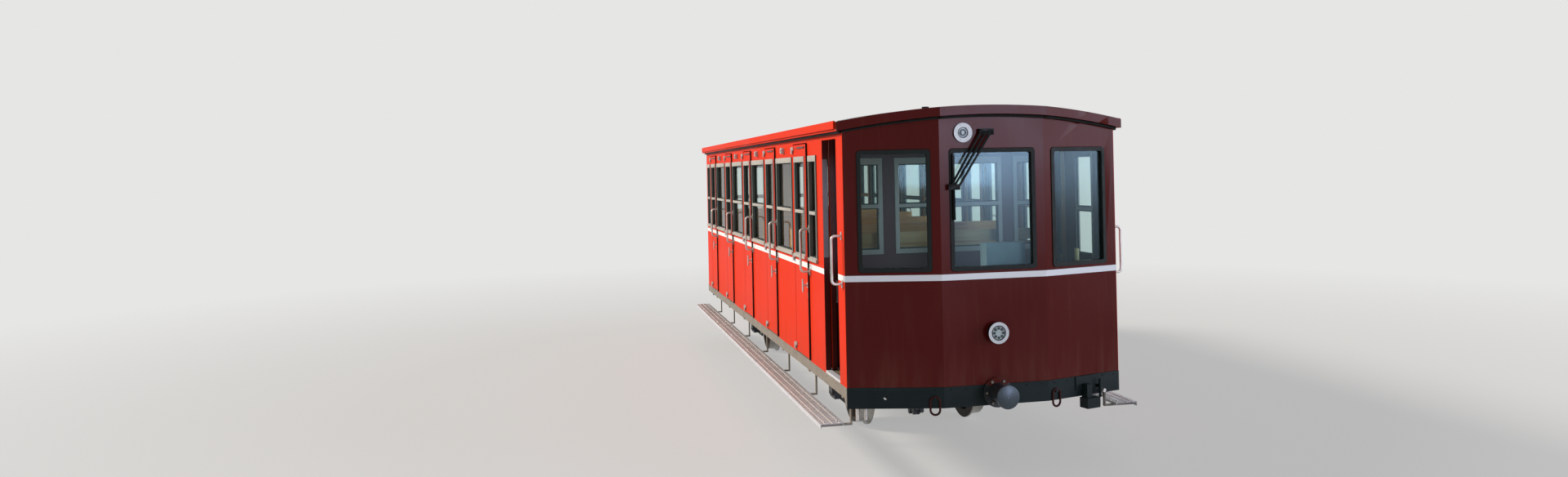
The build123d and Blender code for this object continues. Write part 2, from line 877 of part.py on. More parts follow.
def bench(line_y, facing, half_bench):
    """One slatted bench with its back at line_y; facing is 1 towards the rear, -1 towards the nose."""
    back_y = line_y + facing * bench_support / 2
    seat_y = line_y + facing * (bench_support + seat_depth) / 2
    with BuildPart() as seat:
        for x in (-half_bench + bench_support / 2, 0, half_bench - bench_support / 2):
            with Locations((x, seat_y, floor_top + seat_height / 2)):
                Box(bench_support, seat_depth - support_setback, seat_height)
            with Locations((x, back_y, floor_top + back_height / 2)):
                Box(bench_support, bench_support, back_height)
        for slat in range(seat_slats):
            y = back_y + facing * (bench_support / 2 + slat_gap + slat_depth / 2 + slat * (slat_depth + slat_gap))
            with Locations((0, y, floor_top + seat_height + slat_thickness / 2)):
                Box(2 * half_bench, slat_depth, slat_thickness)
        for slat in range(back_slats):
            z = floor_top + seat_height + slat_thickness + back_slat / 2 + slat * (back_slat + slat_gap)
            with Locations((0, back_y + facing * (bench_support + slat_thickness) / 2, z)):
                Box(2 * half_bench, slat_thickness, back_slat)
    return seat.part


with BuildPart() as benches:
    add(bench(lining_front, 1, first_bench))
    for start in bay_starts[1:]:
        add(bench(start, -1, wide_bench))
        add(bench(start, 1, wide_bench))
    add(bench(last_bay_end, -1, wide_bench))
keep(benches.part, "seat_benches")

# Driver's desk behind the nose window, with the console on it and the brake lever beside it
desk_back = nose_y + wall
desk_top = floor_top + desk_height
console_y = desk_back + console_behind_wall + console_depth / 2
with BuildPart() as desk:
    with BuildSketch(Plane.YZ.offset(-desk_width / 2)):
        with BuildLine():
            Polyline(
                (desk_back, floor_top),
                (desk_back, desk_top),
                (desk_back + desk_depth, desk_top - desk_fall),
                (desk_back + desk_depth, desk_top - desk_fall - desk_lip),
                (desk_back + desk_foot_depth, floor_top),
                close=True,
            )
        make_face()
    extrude(amount=desk_width)
    with Locations((console_x, console_y, (desk_top - desk_fall + console_top) / 2)):
        Box(console_width, console_depth, console_top - desk_top + desk_fall)
    for radius, low, high in (
        (lever_base_radius, floor_top, floor_top + lever_base_height),
        (lever_radius, floor_top, grip_bottom),
        (grip_radius, grip_bottom, grip_top),
    ):
        with BuildSketch(Plane.XY.offset(low)):
            with Locations((lever_x, corner_y + lever_y)):
                Circle(radius)
        extrude(amount=high - low)
keep(desk.part, "driver_desk")

# Sole bars: channels under the side walls, open inward, with a gusset behind the skirt
sole_z = (sole_bottom + body_bottom) / 2
sole_height = body_bottom - sole_bottom
with BuildPart() as sole_bars:
    for side in sides.values():
        with BuildSketch(Plane.XZ.offset(-corner_y)):
            with Locations((side * (sole_inner + sole_depth / 2), sole_z)):
                Rectangle(sole_depth, sole_height)
            with Locations((side * (sole_inner + (sole_depth - sole_web) / 2), sole_z)):
                Rectangle(sole_depth - sole_web, sole_height - 2 * sole_web, mode=Mode.SUBTRACT)
        extrude(amount=-body_length)
        with BuildSketch(side_plane(side, corner_y, sole_proud)):
            with BuildLine():
                Polyline((0, sole_bottom), (side * gusset_length, sole_bottom), (0, skirt_bottom), close=True)
            make_face()
        extrude(amount=-sole_web)
keep(sole_bars.part, "sole_bars")

# Skirt under the nose, with the lugs that the towing hoops hang on
hoop_r = hoop_width / 2
hoop_straight = (hoop_height - hoop_width) / 2
hoop_depth = 2 * (hoop_rod + seat_gap)
lug_z = hoop_z + hoop_straight + hoop_r - hoop_rod - seat_gap - lug_radius
with BuildPart() as front_skirt:
    with BuildSketch(Plane.XY.offset(skirt_bottom)):
        add(nose_ring(skirt_thickness))
    extrude(amount=body_bottom - skirt_bottom)
    with BuildSketch(facet_plane(-1, from_corner_at(skirt_hole_x))):
        with Locations((0, skirt_hole_z)):
            Circle(skirt_hole_radius)
    extrude(amount=-2 * skirt_thickness, mode=Mode.SUBTRACT)
    for side in sides.values():
        hoop_plane = facet_plane(side, from_corner_at(hoop_x))
        for radius, start, reach in ((lug_radius, 0, hoop_depth), (lug_head_radius, hoop_depth, lug_head)):
            with BuildSketch(hoop_plane.offset(start)):
                with Locations((0, lug_z)):
                    Circle(radius)
            extrude(amount=reach)
keep(front_skirt.part, "front_skirt")


def towing_hoop(side):
    """One oval hoop, parallel to the skirt panel behind it."""
    middle = facet_plane(side, from_corner_at(hoop_x)).offset(hoop_rod + seat_gap)
    low = hoop_z - hoop_straight
    high = hoop_z + hoop_straight
    with BuildPart() as hoop:
        with BuildLine(middle) as loop:
            Line((-hoop_r, low), (-hoop_r, high))
            ThreePointArc((-hoop_r, high), (0, high + hoop_r), (hoop_r, high))
            Line((hoop_r, high), (hoop_r, low))
            ThreePointArc((hoop_r, low), (0, low - hoop_r), (-hoop_r, low))
        with BuildSketch(Plane(origin=loop.line @ 0, z_dir=loop.line % 0)):
            Circle(hoop_rod)
        sweep()
    return hoop.part


with BuildPart() as hoops:
    for side in sides.values():
        add(towing_hoop(side))
keep(hoops.part, "towing_hoops")

with BuildPart() as rear_headstock:
    with BuildSketch(end_plane(rear_y, 1)):
        with Locations((0, (skirt_bottom + body_bottom) / 2)):
            Rectangle(2 * sole_inner, body_bottom - skirt_bottom)
    extrude(amount=-skirt_thickness)
keep(rear_headstock.part, "rear_headstock")

# Underframe: two main beams, the members across and between them, and the hangers of the springs
main_beam_bottom = body_bottom - main_beam_height
beam_z = body_bottom - main_beam_height / 2
beam_inner = main_beam_x - main_beam_width / 2
beam_outer = main_beam_x + main_beam_width / 2
cross_z = body_bottom - cross_height / 2
cross_ys = [corner_y + end_cross_inset, *bay_starts, rear_y - end_cross_inset]
spring_x = beam_outer - seat_gap - spring_width / 2
spring_low = axle_z + box_height / 2
spring_radius = ((spring_span / 2) ** 2 + spring_rise**2) / (2 * spring_rise)
spring_axis_z = spring_low + spring_leaves * spring_leaf + spring_radius
eye_turn = spring_span / 2 / spring_radius
eye_y = (spring_radius + spring_leaf / 2) * sin(eye_turn)
eye_z = spring_axis_z - (spring_radius + spring_leaf / 2) * cos(eye_turn)
cheek_bottom = eye_z - spring_eye - cheek_below_eye
cheeks = (
    # middle across, top
    (spring_x - spring_width / 2 - seat_gap - cheek / 2, main_beam_bottom),
    (beam_outer + cheek / 2, main_beam_bottom + beam_flange),
)
drum_x = (pinion_ring_spacing + pinion_ring_width + drum_width) / 2


def main_beam(side):
    """One main beam, an I-section as long as the body."""
    with BuildPart() as beam:
        with BuildSketch(Plane.XZ.offset(-corner_y)):
            with Locations((side * main_beam_x, beam_z)):
                Rectangle(beam_web, main_beam_height)
            for z in (main_beam_bottom + beam_flange / 2, body_bottom - beam_flange / 2):
                with Locations((side * main_beam_x, z)):
                    Rectangle(main_beam_width, beam_flange)
        extrude(amount=-(body_length - skirt_thickness))
    return beam.part


members = [main_beam(side) for side in sides.values()]
for y in cross_ys:
    members.append(Pos(0, y, cross_z) * Box(2 * beam_inner, cross_width, cross_height))
    for side in sides.values():
        outrigger_x = side * (beam_outer + sole_inner) / 2
        members.append(Pos(outrigger_x, y, cross_z) * Box(sole_inner - beam_outer, cross_width, cross_height))
for side in sides.values():
    band_beam_y = (bay_starts[0] + bay_starts[1]) / 2
    band_beam = Box(band_face, compartment_pitch - cross_width, cross_height)
    members.append(Pos(side * drum_x, band_beam_y, cross_z) * band_beam)
    for y in axle_ys:
        for end in (-1, 1):
            for x, top in cheeks:
                cheek_place = Pos(side * x, y + end * eye_y, (cheek_bottom + top) / 2)
                members.append(cheek_place * Box(cheek, cheek_length, top - cheek_bottom))
keep(Compound(children=members), "underframe")

# Running boards and the hangers that carry them from the sole bars
board_length = body_length - 2 * board_end_gap
board_middle = (board_inner + board_outer) / 2
board_lips = ((board_outer - board_plate / 2, board_lip), (board_inner + board_plate / 2, board_inner_lip))
with BuildPart() as boards:
    for side in sides.values():
        with BuildSketch(Plane.XZ.offset(-(corner_y + board_end_gap))):
            with Locations((side * board_middle, board_top - board_plate / 2)):
                Rectangle(board_outer - board_inner, board_plate)
            for x, lip in board_lips:
                with Locations((side * x, board_top - lip / 2)):
                    Rectangle(board_plate, lip)
        extrude(amount=-board_length)
keep(boards.part, "running_boards")

hanger_count = int((body_length - 2 * hanger_first) // hanger_pitch) + 1
arm_top = board_top - board_inner_lip
arm_start = hanger_x - hanger_thickness / 2
arm_end = board_outer - board_plate - arm_end_gap
foot_end = half_width + sole_proud
with BuildPart() as hangers:
    for side in sides.values():
        for number in range(hanger_count):
            y = corner_y + hanger_first + number * hanger_pitch
            with Locations((side * hanger_x, y, (arm_top - hanger_thickness + sole_bottom) / 2)):
                Box(hanger_thickness, hanger_width, sole_bottom - arm_top + hanger_thickness)
            with Locations((side * (arm_start + arm_end) / 2, y, arm_top - hanger_thickness / 2)):
                Box(arm_end - arm_start, hanger_width, hanger_thickness)
            with Locations((side * (arm_start + foot_end) / 2, y, sole_bottom - hanger_thickness / 2)):
                Box(foot_end - arm_start, hanger_foot, hanger_thickness)
keep(hangers.part, "board_hangers")


# Grab rails: bent tubes with a foot plate at each end, beside the doors and on the corner posts
def grab_rail(side, y):
    """One D-shaped rail that stands off the side wall."""
    face = side * half_width
    out = side * (half_width + rail_stand_off)
    with BuildPart() as rail:
        with BuildLine() as path:
            FilletPolyline(
                (face, y, rail_low),
                (out, y, rail_low),
                (out, y, rail_high),
                (face, y, rail_high),
                radius=3 * rail_radius,
            )
        with BuildSketch(Plane(origin=path.line @ 0, z_dir=path.line % 0)):
            Circle(rail_radius)
        sweep()
        for level in (rail_low, rail_high):
            with Locations((side * (half_width + rail_foot_thickness / 2), y, level)):
                Box(rail_foot_thickness, rail_foot_width, rail_foot_height)
    return rail.part


rail_ys = [corner_y + corner_rail_offset]
rail_ys += [centre - half_opening - rail_from_seam for centre in door_centres]
with BuildPart() as grab_rails:
    for side in sides.values():
        for y in rail_ys:
            add(grab_rail(side, y))
keep(grab_rails.part, "grab_rails")

# Lamps: a round body with a rim, and a lens with a bump over each light source
with BuildPart() as lamp_housings:
    for x, z, rim_radius, body_radius, reach, lens_radius, beads, bead_ring in lamps:
        for radius, start, depth, mode in (
            (body_radius, reach, reach, Mode.ADD),
            (rim_radius, reach, lamp_rim_thickness, Mode.ADD),
            (lens_radius, reach, lamp_recess, Mode.SUBTRACT),
        ):
            with BuildSketch(nose_face.offset(start)):
                with Locations((x, z)):
                    Circle(radius)
            extrude(amount=-depth, mode=mode)
keep(lamp_housings.part, "headlamp_housings")

with BuildPart() as lamp_lenses:
    for x, z, rim_radius, body_radius, reach, lens_radius, beads, bead_ring in lamps:
        lens_back = nose_face.offset(reach - lamp_recess)
        with BuildSketch(lens_back):
            with Locations((x, z)):
                Circle(lens_radius - seat_gap)
        extrude(amount=lens_thickness)
        with BuildSketch(lens_back):
            with Locations((x, z)):
                with PolarLocations(bead_ring, beads):
                    Circle(bead_radius)
        extrude(amount=lens_thickness + bead_height)
keep(lamp_lenses.part, "headlamp_lenses")

# Wiper: a spindle box on the nose, three rods, the knuckle and the blade
rod_y = nose_y - wiper_reach
blade_depth = wiper_reach - nose_seal_proud - seat_gap
with BuildPart() as wiper:
    for at_spindle, at_elbow in wiper_rods:
        start = Vector(wiper_pivot_x + at_spindle, rod_y, wiper_pivot_z)
        end = Vector(wiper_elbow_x + at_elbow, rod_y, wiper_elbow_z)
        with BuildSketch(Plane(origin=start, z_dir=end - start)):
            Circle(wiper_rod_radius)
        extrude(amount=(end - start).length)
    with Locations((wiper_pivot_x, nose_y - spindle_box[1] / 2, wiper_pivot_z)):
        Box(*spindle_box)
    with Locations((wiper_elbow_x, rod_y, wiper_elbow_z)):
        Box(*elbow_box)
    with Locations((wiper_elbow_x, rod_y + blade_depth / 2, (blade_low + blade_high) / 2)):
        Box(blade_width, blade_depth, blade_high - blade_low)
keep(wiper.part, "wiper")


# Buffers: a bolted flange, a sleeve, its plunger and a domed head
dome_radius = (head_radius**2 + head_crown**2) / (2 * head_crown)


def buffer(end_y, facing):
    """One central buffer; facing is -1 at the nose and 1 at the rear end."""
    plane = Plane(origin=(0, end_y, buffer_z), x_dir=(0, facing, 0), z_dir=(-facing, 0, 0))
    with BuildPart() as one:
        with BuildSketch(plane):
            with BuildLine():
                Polyline(
                    (buffer_reach, 0),
                    (0, 0),
                    (0, buffer_flange_radius),
                    (buffer_flange, buffer_flange_radius),
                    (buffer_flange, buffer_sleeve_radius),
                    (buffer_sleeve, buffer_sleeve_radius - buffer_sleeve_taper),
                    (buffer_sleeve, plunger_radius),
                    (buffer_reach - head_thickness, plunger_radius),
                    (buffer_reach - head_thickness, head_radius),
                    (buffer_reach - head_crown, head_radius),
                )
                ThreePointArc(
                    (buffer_reach - head_crown, head_radius),
                    (buffer_reach - dome_radius + sqrt(dome_radius**2 - head_radius**2 / 4), head_radius / 2),
                    (buffer_reach, 0),
                )
            make_face()
        revolve(axis=Axis((0, end_y, buffer_z), (0, facing, 0)))
        with BuildSketch(end_plane(end_y, facing).offset(buffer_flange)):
            with Locations((0, buffer_z)):
                with PolarLocations(buffer_bolt_ring, buffer_bolts):
                    RegularPolygon(buffer_bolt_radius, side_count=6)
        extrude(amount=buffer_bolt_height)
    return one.part


keep(buffer(nose_y, -1), "front_buffer")
keep(buffer(rear_y, 1), "rear_buffer")

# End couplings: the jumper box, the air pipe with its cock, a fitting and two pipe ends
cos_facet = facet_width / facet_length
air_pipe_at = facet_plane(1, from_corner_at(air_pipe_x)).offset(air_pipe_reach).origin
air_pipe_parts = (
    # radius, bottom, top
    (air_pipe_radius, air_cock_top, air_pipe_top),
    (air_cock_radius, air_cock_bottom, air_cock_top),
)
with BuildPart() as couplings:
    for across_from, across_to, bottom, top, reach in jumper_blocks:
        with BuildSketch(facet_plane(1, from_corner_at((across_from + across_to) / 2))):
            with Locations((0, (bottom + top) / 2)):
                Rectangle((across_to - across_from) / cos_facet, top - bottom)
        extrude(amount=reach)
    with BuildSketch(facet_plane(1, from_corner_at(air_pipe_x))):
        with Locations((0, air_clamp_z)):
            Rectangle(air_clamp, air_clamp)
    extrude(amount=air_pipe_reach)
    for radius, low, high in air_pipe_parts:
        with BuildSketch(Plane.XY.offset(low)):
            with Locations((air_pipe_at.X, air_pipe_at.Y)):
                Circle(radius)
        extrude(amount=high - low)
    with BuildSketch(facet_plane(1, from_corner_at(fitting_x))):
        with Locations((0, fitting_z)):
            Circle(fitting_radius)
    extrude(amount=fitting_reach)
    with BuildSketch(Plane.XY.offset(pipe_end_bottom)):
        for x in pipe_end_xs:
            with Locations((x, corner_y + pipe_end_behind_corner)):
                Circle(pipe_end_radius)
    extrude(amount=body_bottom - cross_height - pipe_end_bottom)
keep(couplings.part, "end_couplings")


# Wheelsets: a stepped axle with two flanged wheels
def wheelset(y):
    """One axle with its two wheels, turned about the axle."""
    back = back_to_back / 2
    outer = back + wheel_width
    hub_end = outer + hub_boss
    web_in = back + wheel_web_inset
    web_out = web_in + wheel_web
    rim = wheel_radius - wheel_rim
    journal_end = main_beam_x + journal_reach
    profile = (
        (0, 0),
        (0, axle_radius),
        (back - hub_inset, axle_radius),
        (back - hub_inset, wheel_hub_radius),
        (web_in, wheel_hub_radius),
        (web_in, rim),
        (back, rim),
        (back, wheel_radius + flange_depth),
        (back + flange_thickness, wheel_radius + flange_depth),
        (gauge / 2, wheel_radius + tread_rise),
        (outer, wheel_radius - tread_fall),
        (outer, rim),
        (web_out, rim),
        (web_out, wheel_hub_radius),
        (hub_end, wheel_hub_radius),
        (hub_end, journal_radius),
        (journal_end, journal_radius),
        (journal_end, 0),
    )
    with BuildPart() as axle:
        with BuildSketch(Plane.XZ.offset(-y)):
            for side in sides.values():
                with BuildLine():
                    Polyline(*[(side * x, axle_z + radius) for x, radius in profile], close=True)
                make_face()
        revolve(axis=Axis((0, y, axle_z), (1, 0, 0)))
    return axle.part


keep(wheelset(axle_ys[0]), "front_wheelset")
keep(wheelset(axle_ys[1]), "rear_wheelset")

# Brake pinion: two toothed rings, half a tooth apart, between the drums of the band brakes
pinion_pitch_radius = rack_pitch * pinion_teeth / (2 * pi)
tooth_tip = pinion_pitch_radius + tooth_above
tooth_root = pinion_pitch_radius - tooth_below
tooth_height = tooth_tip - tooth_root + tooth_bite
tooth_flank = degrees(atan2(tooth_height, (tooth_root_width - tooth_tip_width) / 2))
pinion_length = 2 * drum_x + drum_width

with BuildPart() as pinion:
    for ring in sides.values():
        with BuildSketch(Plane.YZ.offset((ring * pinion_ring_spacing - pinion_ring_width) / 2)):
            with Locations((axle_ys[0], axle_z)):
                Circle(tooth_root)
                with PolarLocations(tooth_root - tooth_bite, pinion_teeth, start_angle=90 + ring * 90 / pinion_teeth):
                    Trapezoid(
                        tooth_root_width,
                        tooth_height,
                        tooth_flank,
                        align=(Align.CENTER, Align.MIN),
                        rotation=-90,
                    )
        extrude(amount=pinion_ring_width)
    with BuildSketch(Plane.YZ.offset(-pinion_length / 2)):
        with Locations((axle_ys[0], axle_z)):
            Circle(drum_radius)
    extrude(amount=pinion_length)
    with BuildSketch(Plane.YZ.offset(-pinion_length / 2)):
        with Locations((axle_ys[0], axle_z)):
            Circle(axle_radius + seat_gap)
            with PolarLocations(pinion_hole_ring, pinion_holes):
                Circle(pinion_hole_radius)
    extrude(amount=pinion_length, mode=Mode.SUBTRACT)
keep(pinion.part, "brake_pinion")

# Brake bands: a band round each drum, hung from the beam above it
band_inner = drum_radius + running_clearance
lug_low = axle_z + band_inner + band_thickness / 2
lug_high = body_bottom - cross_height
with BuildPart() as bands:
    for side in sides.values():
        with BuildSketch(Plane.YZ.offset(side * drum_x - band_face / 2)):
            with Locations((axle_ys[0], axle_z)):
                Circle(band_inner + band_thickness)
                Circle(band_inner, mode=Mode.SUBTRACT)
            with Locations((axle_ys[0], (lug_low + lug_high) / 2)):
                Rectangle(band_lug, lug_high - lug_low)
        extrude(amount=band_face)
keep(bands.part, "brake_bands")

# Axle guards: plates under the main beams, slotted for the axle boxes
box_x = main_beam_x + box_reach
guard_inner = beam_inner
slot_bottom = axle_z - box_height / 2 - box_clearance
guard_bottom = slot_bottom - guard_tie
with BuildPart() as guards:
    for side in sides.values():
        for y in axle_ys:
            with BuildSketch(side_plane(side, y, guard_inner - half_width)):
                with BuildLine():
                    Polyline(
                        (-guard_half_top, main_beam_bottom),
                        (guard_half_top, main_beam_bottom),
                        (box_length / 2 + guard_foot, guard_bottom),
                        (-box_length / 2 - guard_foot, guard_bottom),
                        close=True,
                    )
                make_face()
                with Locations((0, (slot_bottom + main_beam_bottom) / 2)):
                    Rectangle(box_length + 2 * seat_gap, main_beam_bottom - slot_bottom, mode=Mode.SUBTRACT)
            extrude(amount=guard_thickness)
keep(guards.part, "axle_guards")

# Axle boxes: a block in the guard's slot, its flange on the guard and a round cover
flange_x = guard_inner + guard_thickness + seat_gap + box_flange / 2
box_end = box_x + box_depth / 2
with BuildPart() as boxes:
    for side in sides.values():
        for y in axle_ys:
            with Locations((side * box_x, y, axle_z)):
                Box(box_depth, box_length, box_height)
            with Locations((side * flange_x, y, axle_z)):
                Box(box_flange, box_flange_length, box_flange_height)
            with BuildSketch(side_plane(side, y, box_end - half_width)):
                with Locations((0, axle_z)):
                    Circle(cover_radius)
            extrude(amount=cover_thickness)
            with BuildSketch(side_plane(side, y, box_end - box_cover - half_width)):
                with Locations((0, axle_z)):
                    Circle(journal_radius + pin_clearance)
            extrude(amount=-box_depth, mode=Mode.SUBTRACT)
keep(boxes.part, "axle_boxes")

# Leaf springs: seven leaves each, held by a buckle, with an eye at both ends of the longest leaf
with BuildPart() as springs:
    for side in sides.values():
        for y in axle_ys:
            with BuildSketch(Plane.YZ.offset(side * spring_x - spring_width / 2)):
                for number in range(spring_leaves):
                    inner = spring_radius + number * spring_leaf
                    outer = inner + spring_leaf
                    turn = eye_turn * (1 - number * leaf_step)
                    across = sin(turn)
                    down = cos(turn)
                    with BuildLine():
                        ThreePointArc(
                            (y - inner * across, spring_axis_z - inner * down),
                            (y, spring_axis_z - inner),
                            (y + inner * across, spring_axis_z - inner * down),
                        )
                        Line(
                            (y + inner * across, spring_axis_z - inner * down),
                            (y + outer * across, spring_axis_z - outer * down),
                        )
                        ThreePointArc(
                            (y + outer * across, spring_axis_z - outer * down),
                            (y, spring_axis_z - outer),
                            (y - outer * across, spring_axis_z - outer * down),
                        )
                        Line(
                            (y - outer * across, spring_axis_z - outer * down),
                            (y - inner * across, spring_axis_z - inner * down),
                        )
                    make_face()
                with Locations((y - eye_y, eye_z), (y + eye_y, eye_z)):
                    Circle(spring_eye)
            extrude(amount=spring_width)
            buckle_height = spring_leaves * spring_leaf + buckle_wall
            with Locations((side * spring_x, y, spring_low + buckle_height / 2)):
                Box(spring_width + 2 * buckle_wall, buckle_length, buckle_height)
keep(springs.part, "leaf_springs")

os.makedirs("parts", exist_ok=True)
for piece in pieces:
    export_step(piece, f"parts/{piece.label}.step")
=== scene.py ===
from functools import partial
from math import asin, cos, hypot, pi, radians, sin

import bmesh
import bpy
from mathutils import Matrix, Vector


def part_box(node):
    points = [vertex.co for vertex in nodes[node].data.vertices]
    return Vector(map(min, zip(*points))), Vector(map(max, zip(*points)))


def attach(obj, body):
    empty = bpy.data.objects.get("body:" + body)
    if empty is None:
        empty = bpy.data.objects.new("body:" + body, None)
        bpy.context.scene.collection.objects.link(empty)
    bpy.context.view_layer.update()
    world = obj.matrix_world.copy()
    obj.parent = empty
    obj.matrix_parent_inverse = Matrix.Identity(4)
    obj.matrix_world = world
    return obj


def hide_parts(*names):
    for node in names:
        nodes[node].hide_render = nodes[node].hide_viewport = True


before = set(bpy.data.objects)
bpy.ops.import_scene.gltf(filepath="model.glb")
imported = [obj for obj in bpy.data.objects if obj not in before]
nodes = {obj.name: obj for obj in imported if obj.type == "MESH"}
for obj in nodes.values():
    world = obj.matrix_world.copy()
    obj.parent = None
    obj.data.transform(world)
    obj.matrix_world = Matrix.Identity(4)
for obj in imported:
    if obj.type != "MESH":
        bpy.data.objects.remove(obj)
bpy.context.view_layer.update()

# Places read from the frame, and the coach's own sizes, in metres
MM = 0.001
box = {name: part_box(name) for name in nodes}
nose_y = box["nose_wall"][0].y
corner_y = box["right_side_wall"][0].y
rear_y = box["rear_wall"][1].y
side_x = box["rear_wall"][1].x
floor_z = box["floor"][1].z
wall_low_z = box["floor"][0].z
sill_z = box["window_frames"][0].z
window_top_z = box["window_frames"][1].z
board_z = box["running_boards"][1].z
axle_z = (box["rear_wheelset"][0].z + box["rear_wheelset"][1].z) / 2
rail_top_z = 28 * MM
stripe_z = rail_top_z + 1476.5 * MM
stripe_half = 22.5 * MM
half_face = 414 * MM
wall_inner = side_x - 45 * MM
door_top_z = rail_top_z + 2520 * MM
bay_pitch = 1325 * MM
bay_starts = [corner_y + 726 * MM + number * bay_pitch for number in range(5)]
door_centres = [start + bay_pitch / 2 for start in bay_starts]
half_opening = 271 * MM
axle_ys = [(box[name][0].y + box[name][1].y) / 2 for name in ("front_wheelset", "rear_wheelset")]
tread_radius = 296 * MM
roof_radius = 6350 * MM
roof_crown_z = rail_top_z + 2742 * MM
lamp_high = Vector((-230 * MM, nose_y - 14 * MM, rail_top_z + 2539 * MM))
lamp_low = Vector((0, nose_y - 55 * MM, rail_top_z + 1058 * MM))
doorway_centre = corner_y + 398 * MM
half_doorway = 213.5 * MM
band_radius = 6282 * MM
knob_x, knob_y = -336 * MM, corner_y + 300 * MM
buffer_z = rail_top_z + 615 * MM
pipe_x = 900 * MM
lever_x, lever_grip_z = 700 * MM, rail_top_z + 1534 * MM
desk_y = box["driver_desk"][0].y
tread_inner, tread_outer = 1116 * MM, 1284 * MM
hanger_bolts = (1150 * MM, 1250 * MM)
hinge_levels = (745, 1530, 2480)
rail_foot_levels = (1434, 1792)
sides = {"right": -1, "left": 1}


# Colours and nodes

def linear(code):
    """An sRGB hex colour as the linear RGBA that a socket takes."""
    channels = [int(code[i:i + 2], 16) / 255 for i in (1, 3, 5)]
    return [c / 12.92 if c <= 0.04045 else ((c + 0.055) / 1.055) ** 2.4 for c in channels] + [1.0]


def add_node(tree, kind, settings=(), links=(), output=0):
    """Adds a node with its settings, by attribute or socket, and its links. Gives one output."""
    made = tree.nodes.new("ShaderNode" + kind)
    for name, value in dict(settings).items():
        if hasattr(made, str(name)):
            setattr(made, name, value)
        else:
            made.inputs[name].default_value = value
    for name, source in dict(links).items():
        tree.links.new(source, made.inputs[name])
    return made.outputs[output]


def new_material(name, values):
    """A material with its tree, its surface shader and the points of the surface at rest."""
    made = bpy.data.materials.new(name)
    made.use_nodes = True
    tree = made.node_tree
    shader = tree.nodes["Principled BSDF"]
    for socket, value in values.items():
        shader.inputs[socket].default_value = value
    return made, tree, shader, add_node(tree, "TexCoord", output="Object")


def per_mm(size):
    """The scale that gives a pattern of this size, in millimetres, in metre coordinates."""
    return 1000 / size


# Materials

def enamel(name, colour, faded, shine, rough=0.42):
    """Brushed enamel on sheet steel, some years old: chalky patches, soft ripples in the
    reflections where the sheet isn't flat, rain streaks, brown road dust low down, and the pale
    stripe that runs round the coach. The brush marks are drawn about four times as coarse as real
    ones, or they wouldn't show."""
    made, tree, shader, point = new_material(name, {"Specular IOR Level": shine})
    dust, stripe_white = linear("#6E4A3C"), linear("#E6E8EB")
    height = add_node(tree, "SeparateXYZ", (), {"Vector": point}, "Z")
    patches = add_node(tree, "TexNoise", {"Scale": per_mm(900), "Detail": 4.0}, {"Vector": point})
    chalky = add_node(tree, "MapRange", {"From Min": 0.35, "From Max": 0.75, "To Max": 0.45},
                      {"Value": patches})
    paint = add_node(tree, "Mix", {"data_type": "RGBA", 6: linear(colour), 7: linear(faded)},
                     {0: chalky}, 2)
    falling = add_node(tree, "Mapping", {"Scale": (1, 1, 0.1)}, {"Vector": point})
    rain = add_node(tree, "TexNoise", {"Scale": per_mm(55), "Detail": 5.0}, {"Vector": falling})
    streaks = add_node(tree, "MapRange", {"From Min": 0.52, "From Max": 0.8, "To Max": 0.1},
                       {"Value": rain})
    paint = add_node(tree, "Mix", {"data_type": "RGBA", 7: dust}, {0: streaks, 6: paint}, 2)
    low = add_node(tree, "MapRange", {"From Min": wall_low_z + 300 * MM, "From Max": wall_low_z},
                   {"Value": height})
    splash = add_node(tree, "MapRange", {"From Min": 0.35, "From Max": 0.75, "To Min": 0.02,
                                         "To Max": 0.3}, {"Value": rain})
    dirt = add_node(tree, "Math", {"operation": "MULTIPLY"}, {0: low, 1: splash})
    paint = add_node(tree, "Mix", {"data_type": "RGBA", 7: dust}, {0: dirt, 6: paint}, 2)
    band = add_node(tree, "Math", {"operation": "COMPARE", 1: stripe_z, 2: stripe_half},
                    {0: height})
    paint = add_node(tree, "Mix", {"data_type": "RGBA", 7: stripe_white}, {0: band, 6: paint}, 2)
    tree.links.new(paint, shader.inputs["Base Color"])
    dull = add_node(tree, "MapRange", {"From Min": 0.3, "From Max": 0.8, "To Min": rough - 0.06,
                                       "To Max": rough + 0.14}, {"Value": patches})
    tree.links.new(dull, shader.inputs["Roughness"])
    wavy = add_node(tree, "TexNoise", {"Scale": per_mm(420), "Detail": 0.0}, {"Vector": point})
    ripple = add_node(tree, "Bump", {"Distance": 0.8 * MM}, {"Height": wavy})
    brushed = add_node(tree, "TexNoise", {"Scale": per_mm(9), "Detail": 2.0}, {"Vector": point})
    marks = add_node(tree, "Bump", {"Distance": 0.05 * MM}, {"Height": brushed, "Normal": ripple})
    tree.links.new(marks, shader.inputs["Normal"])
    return made


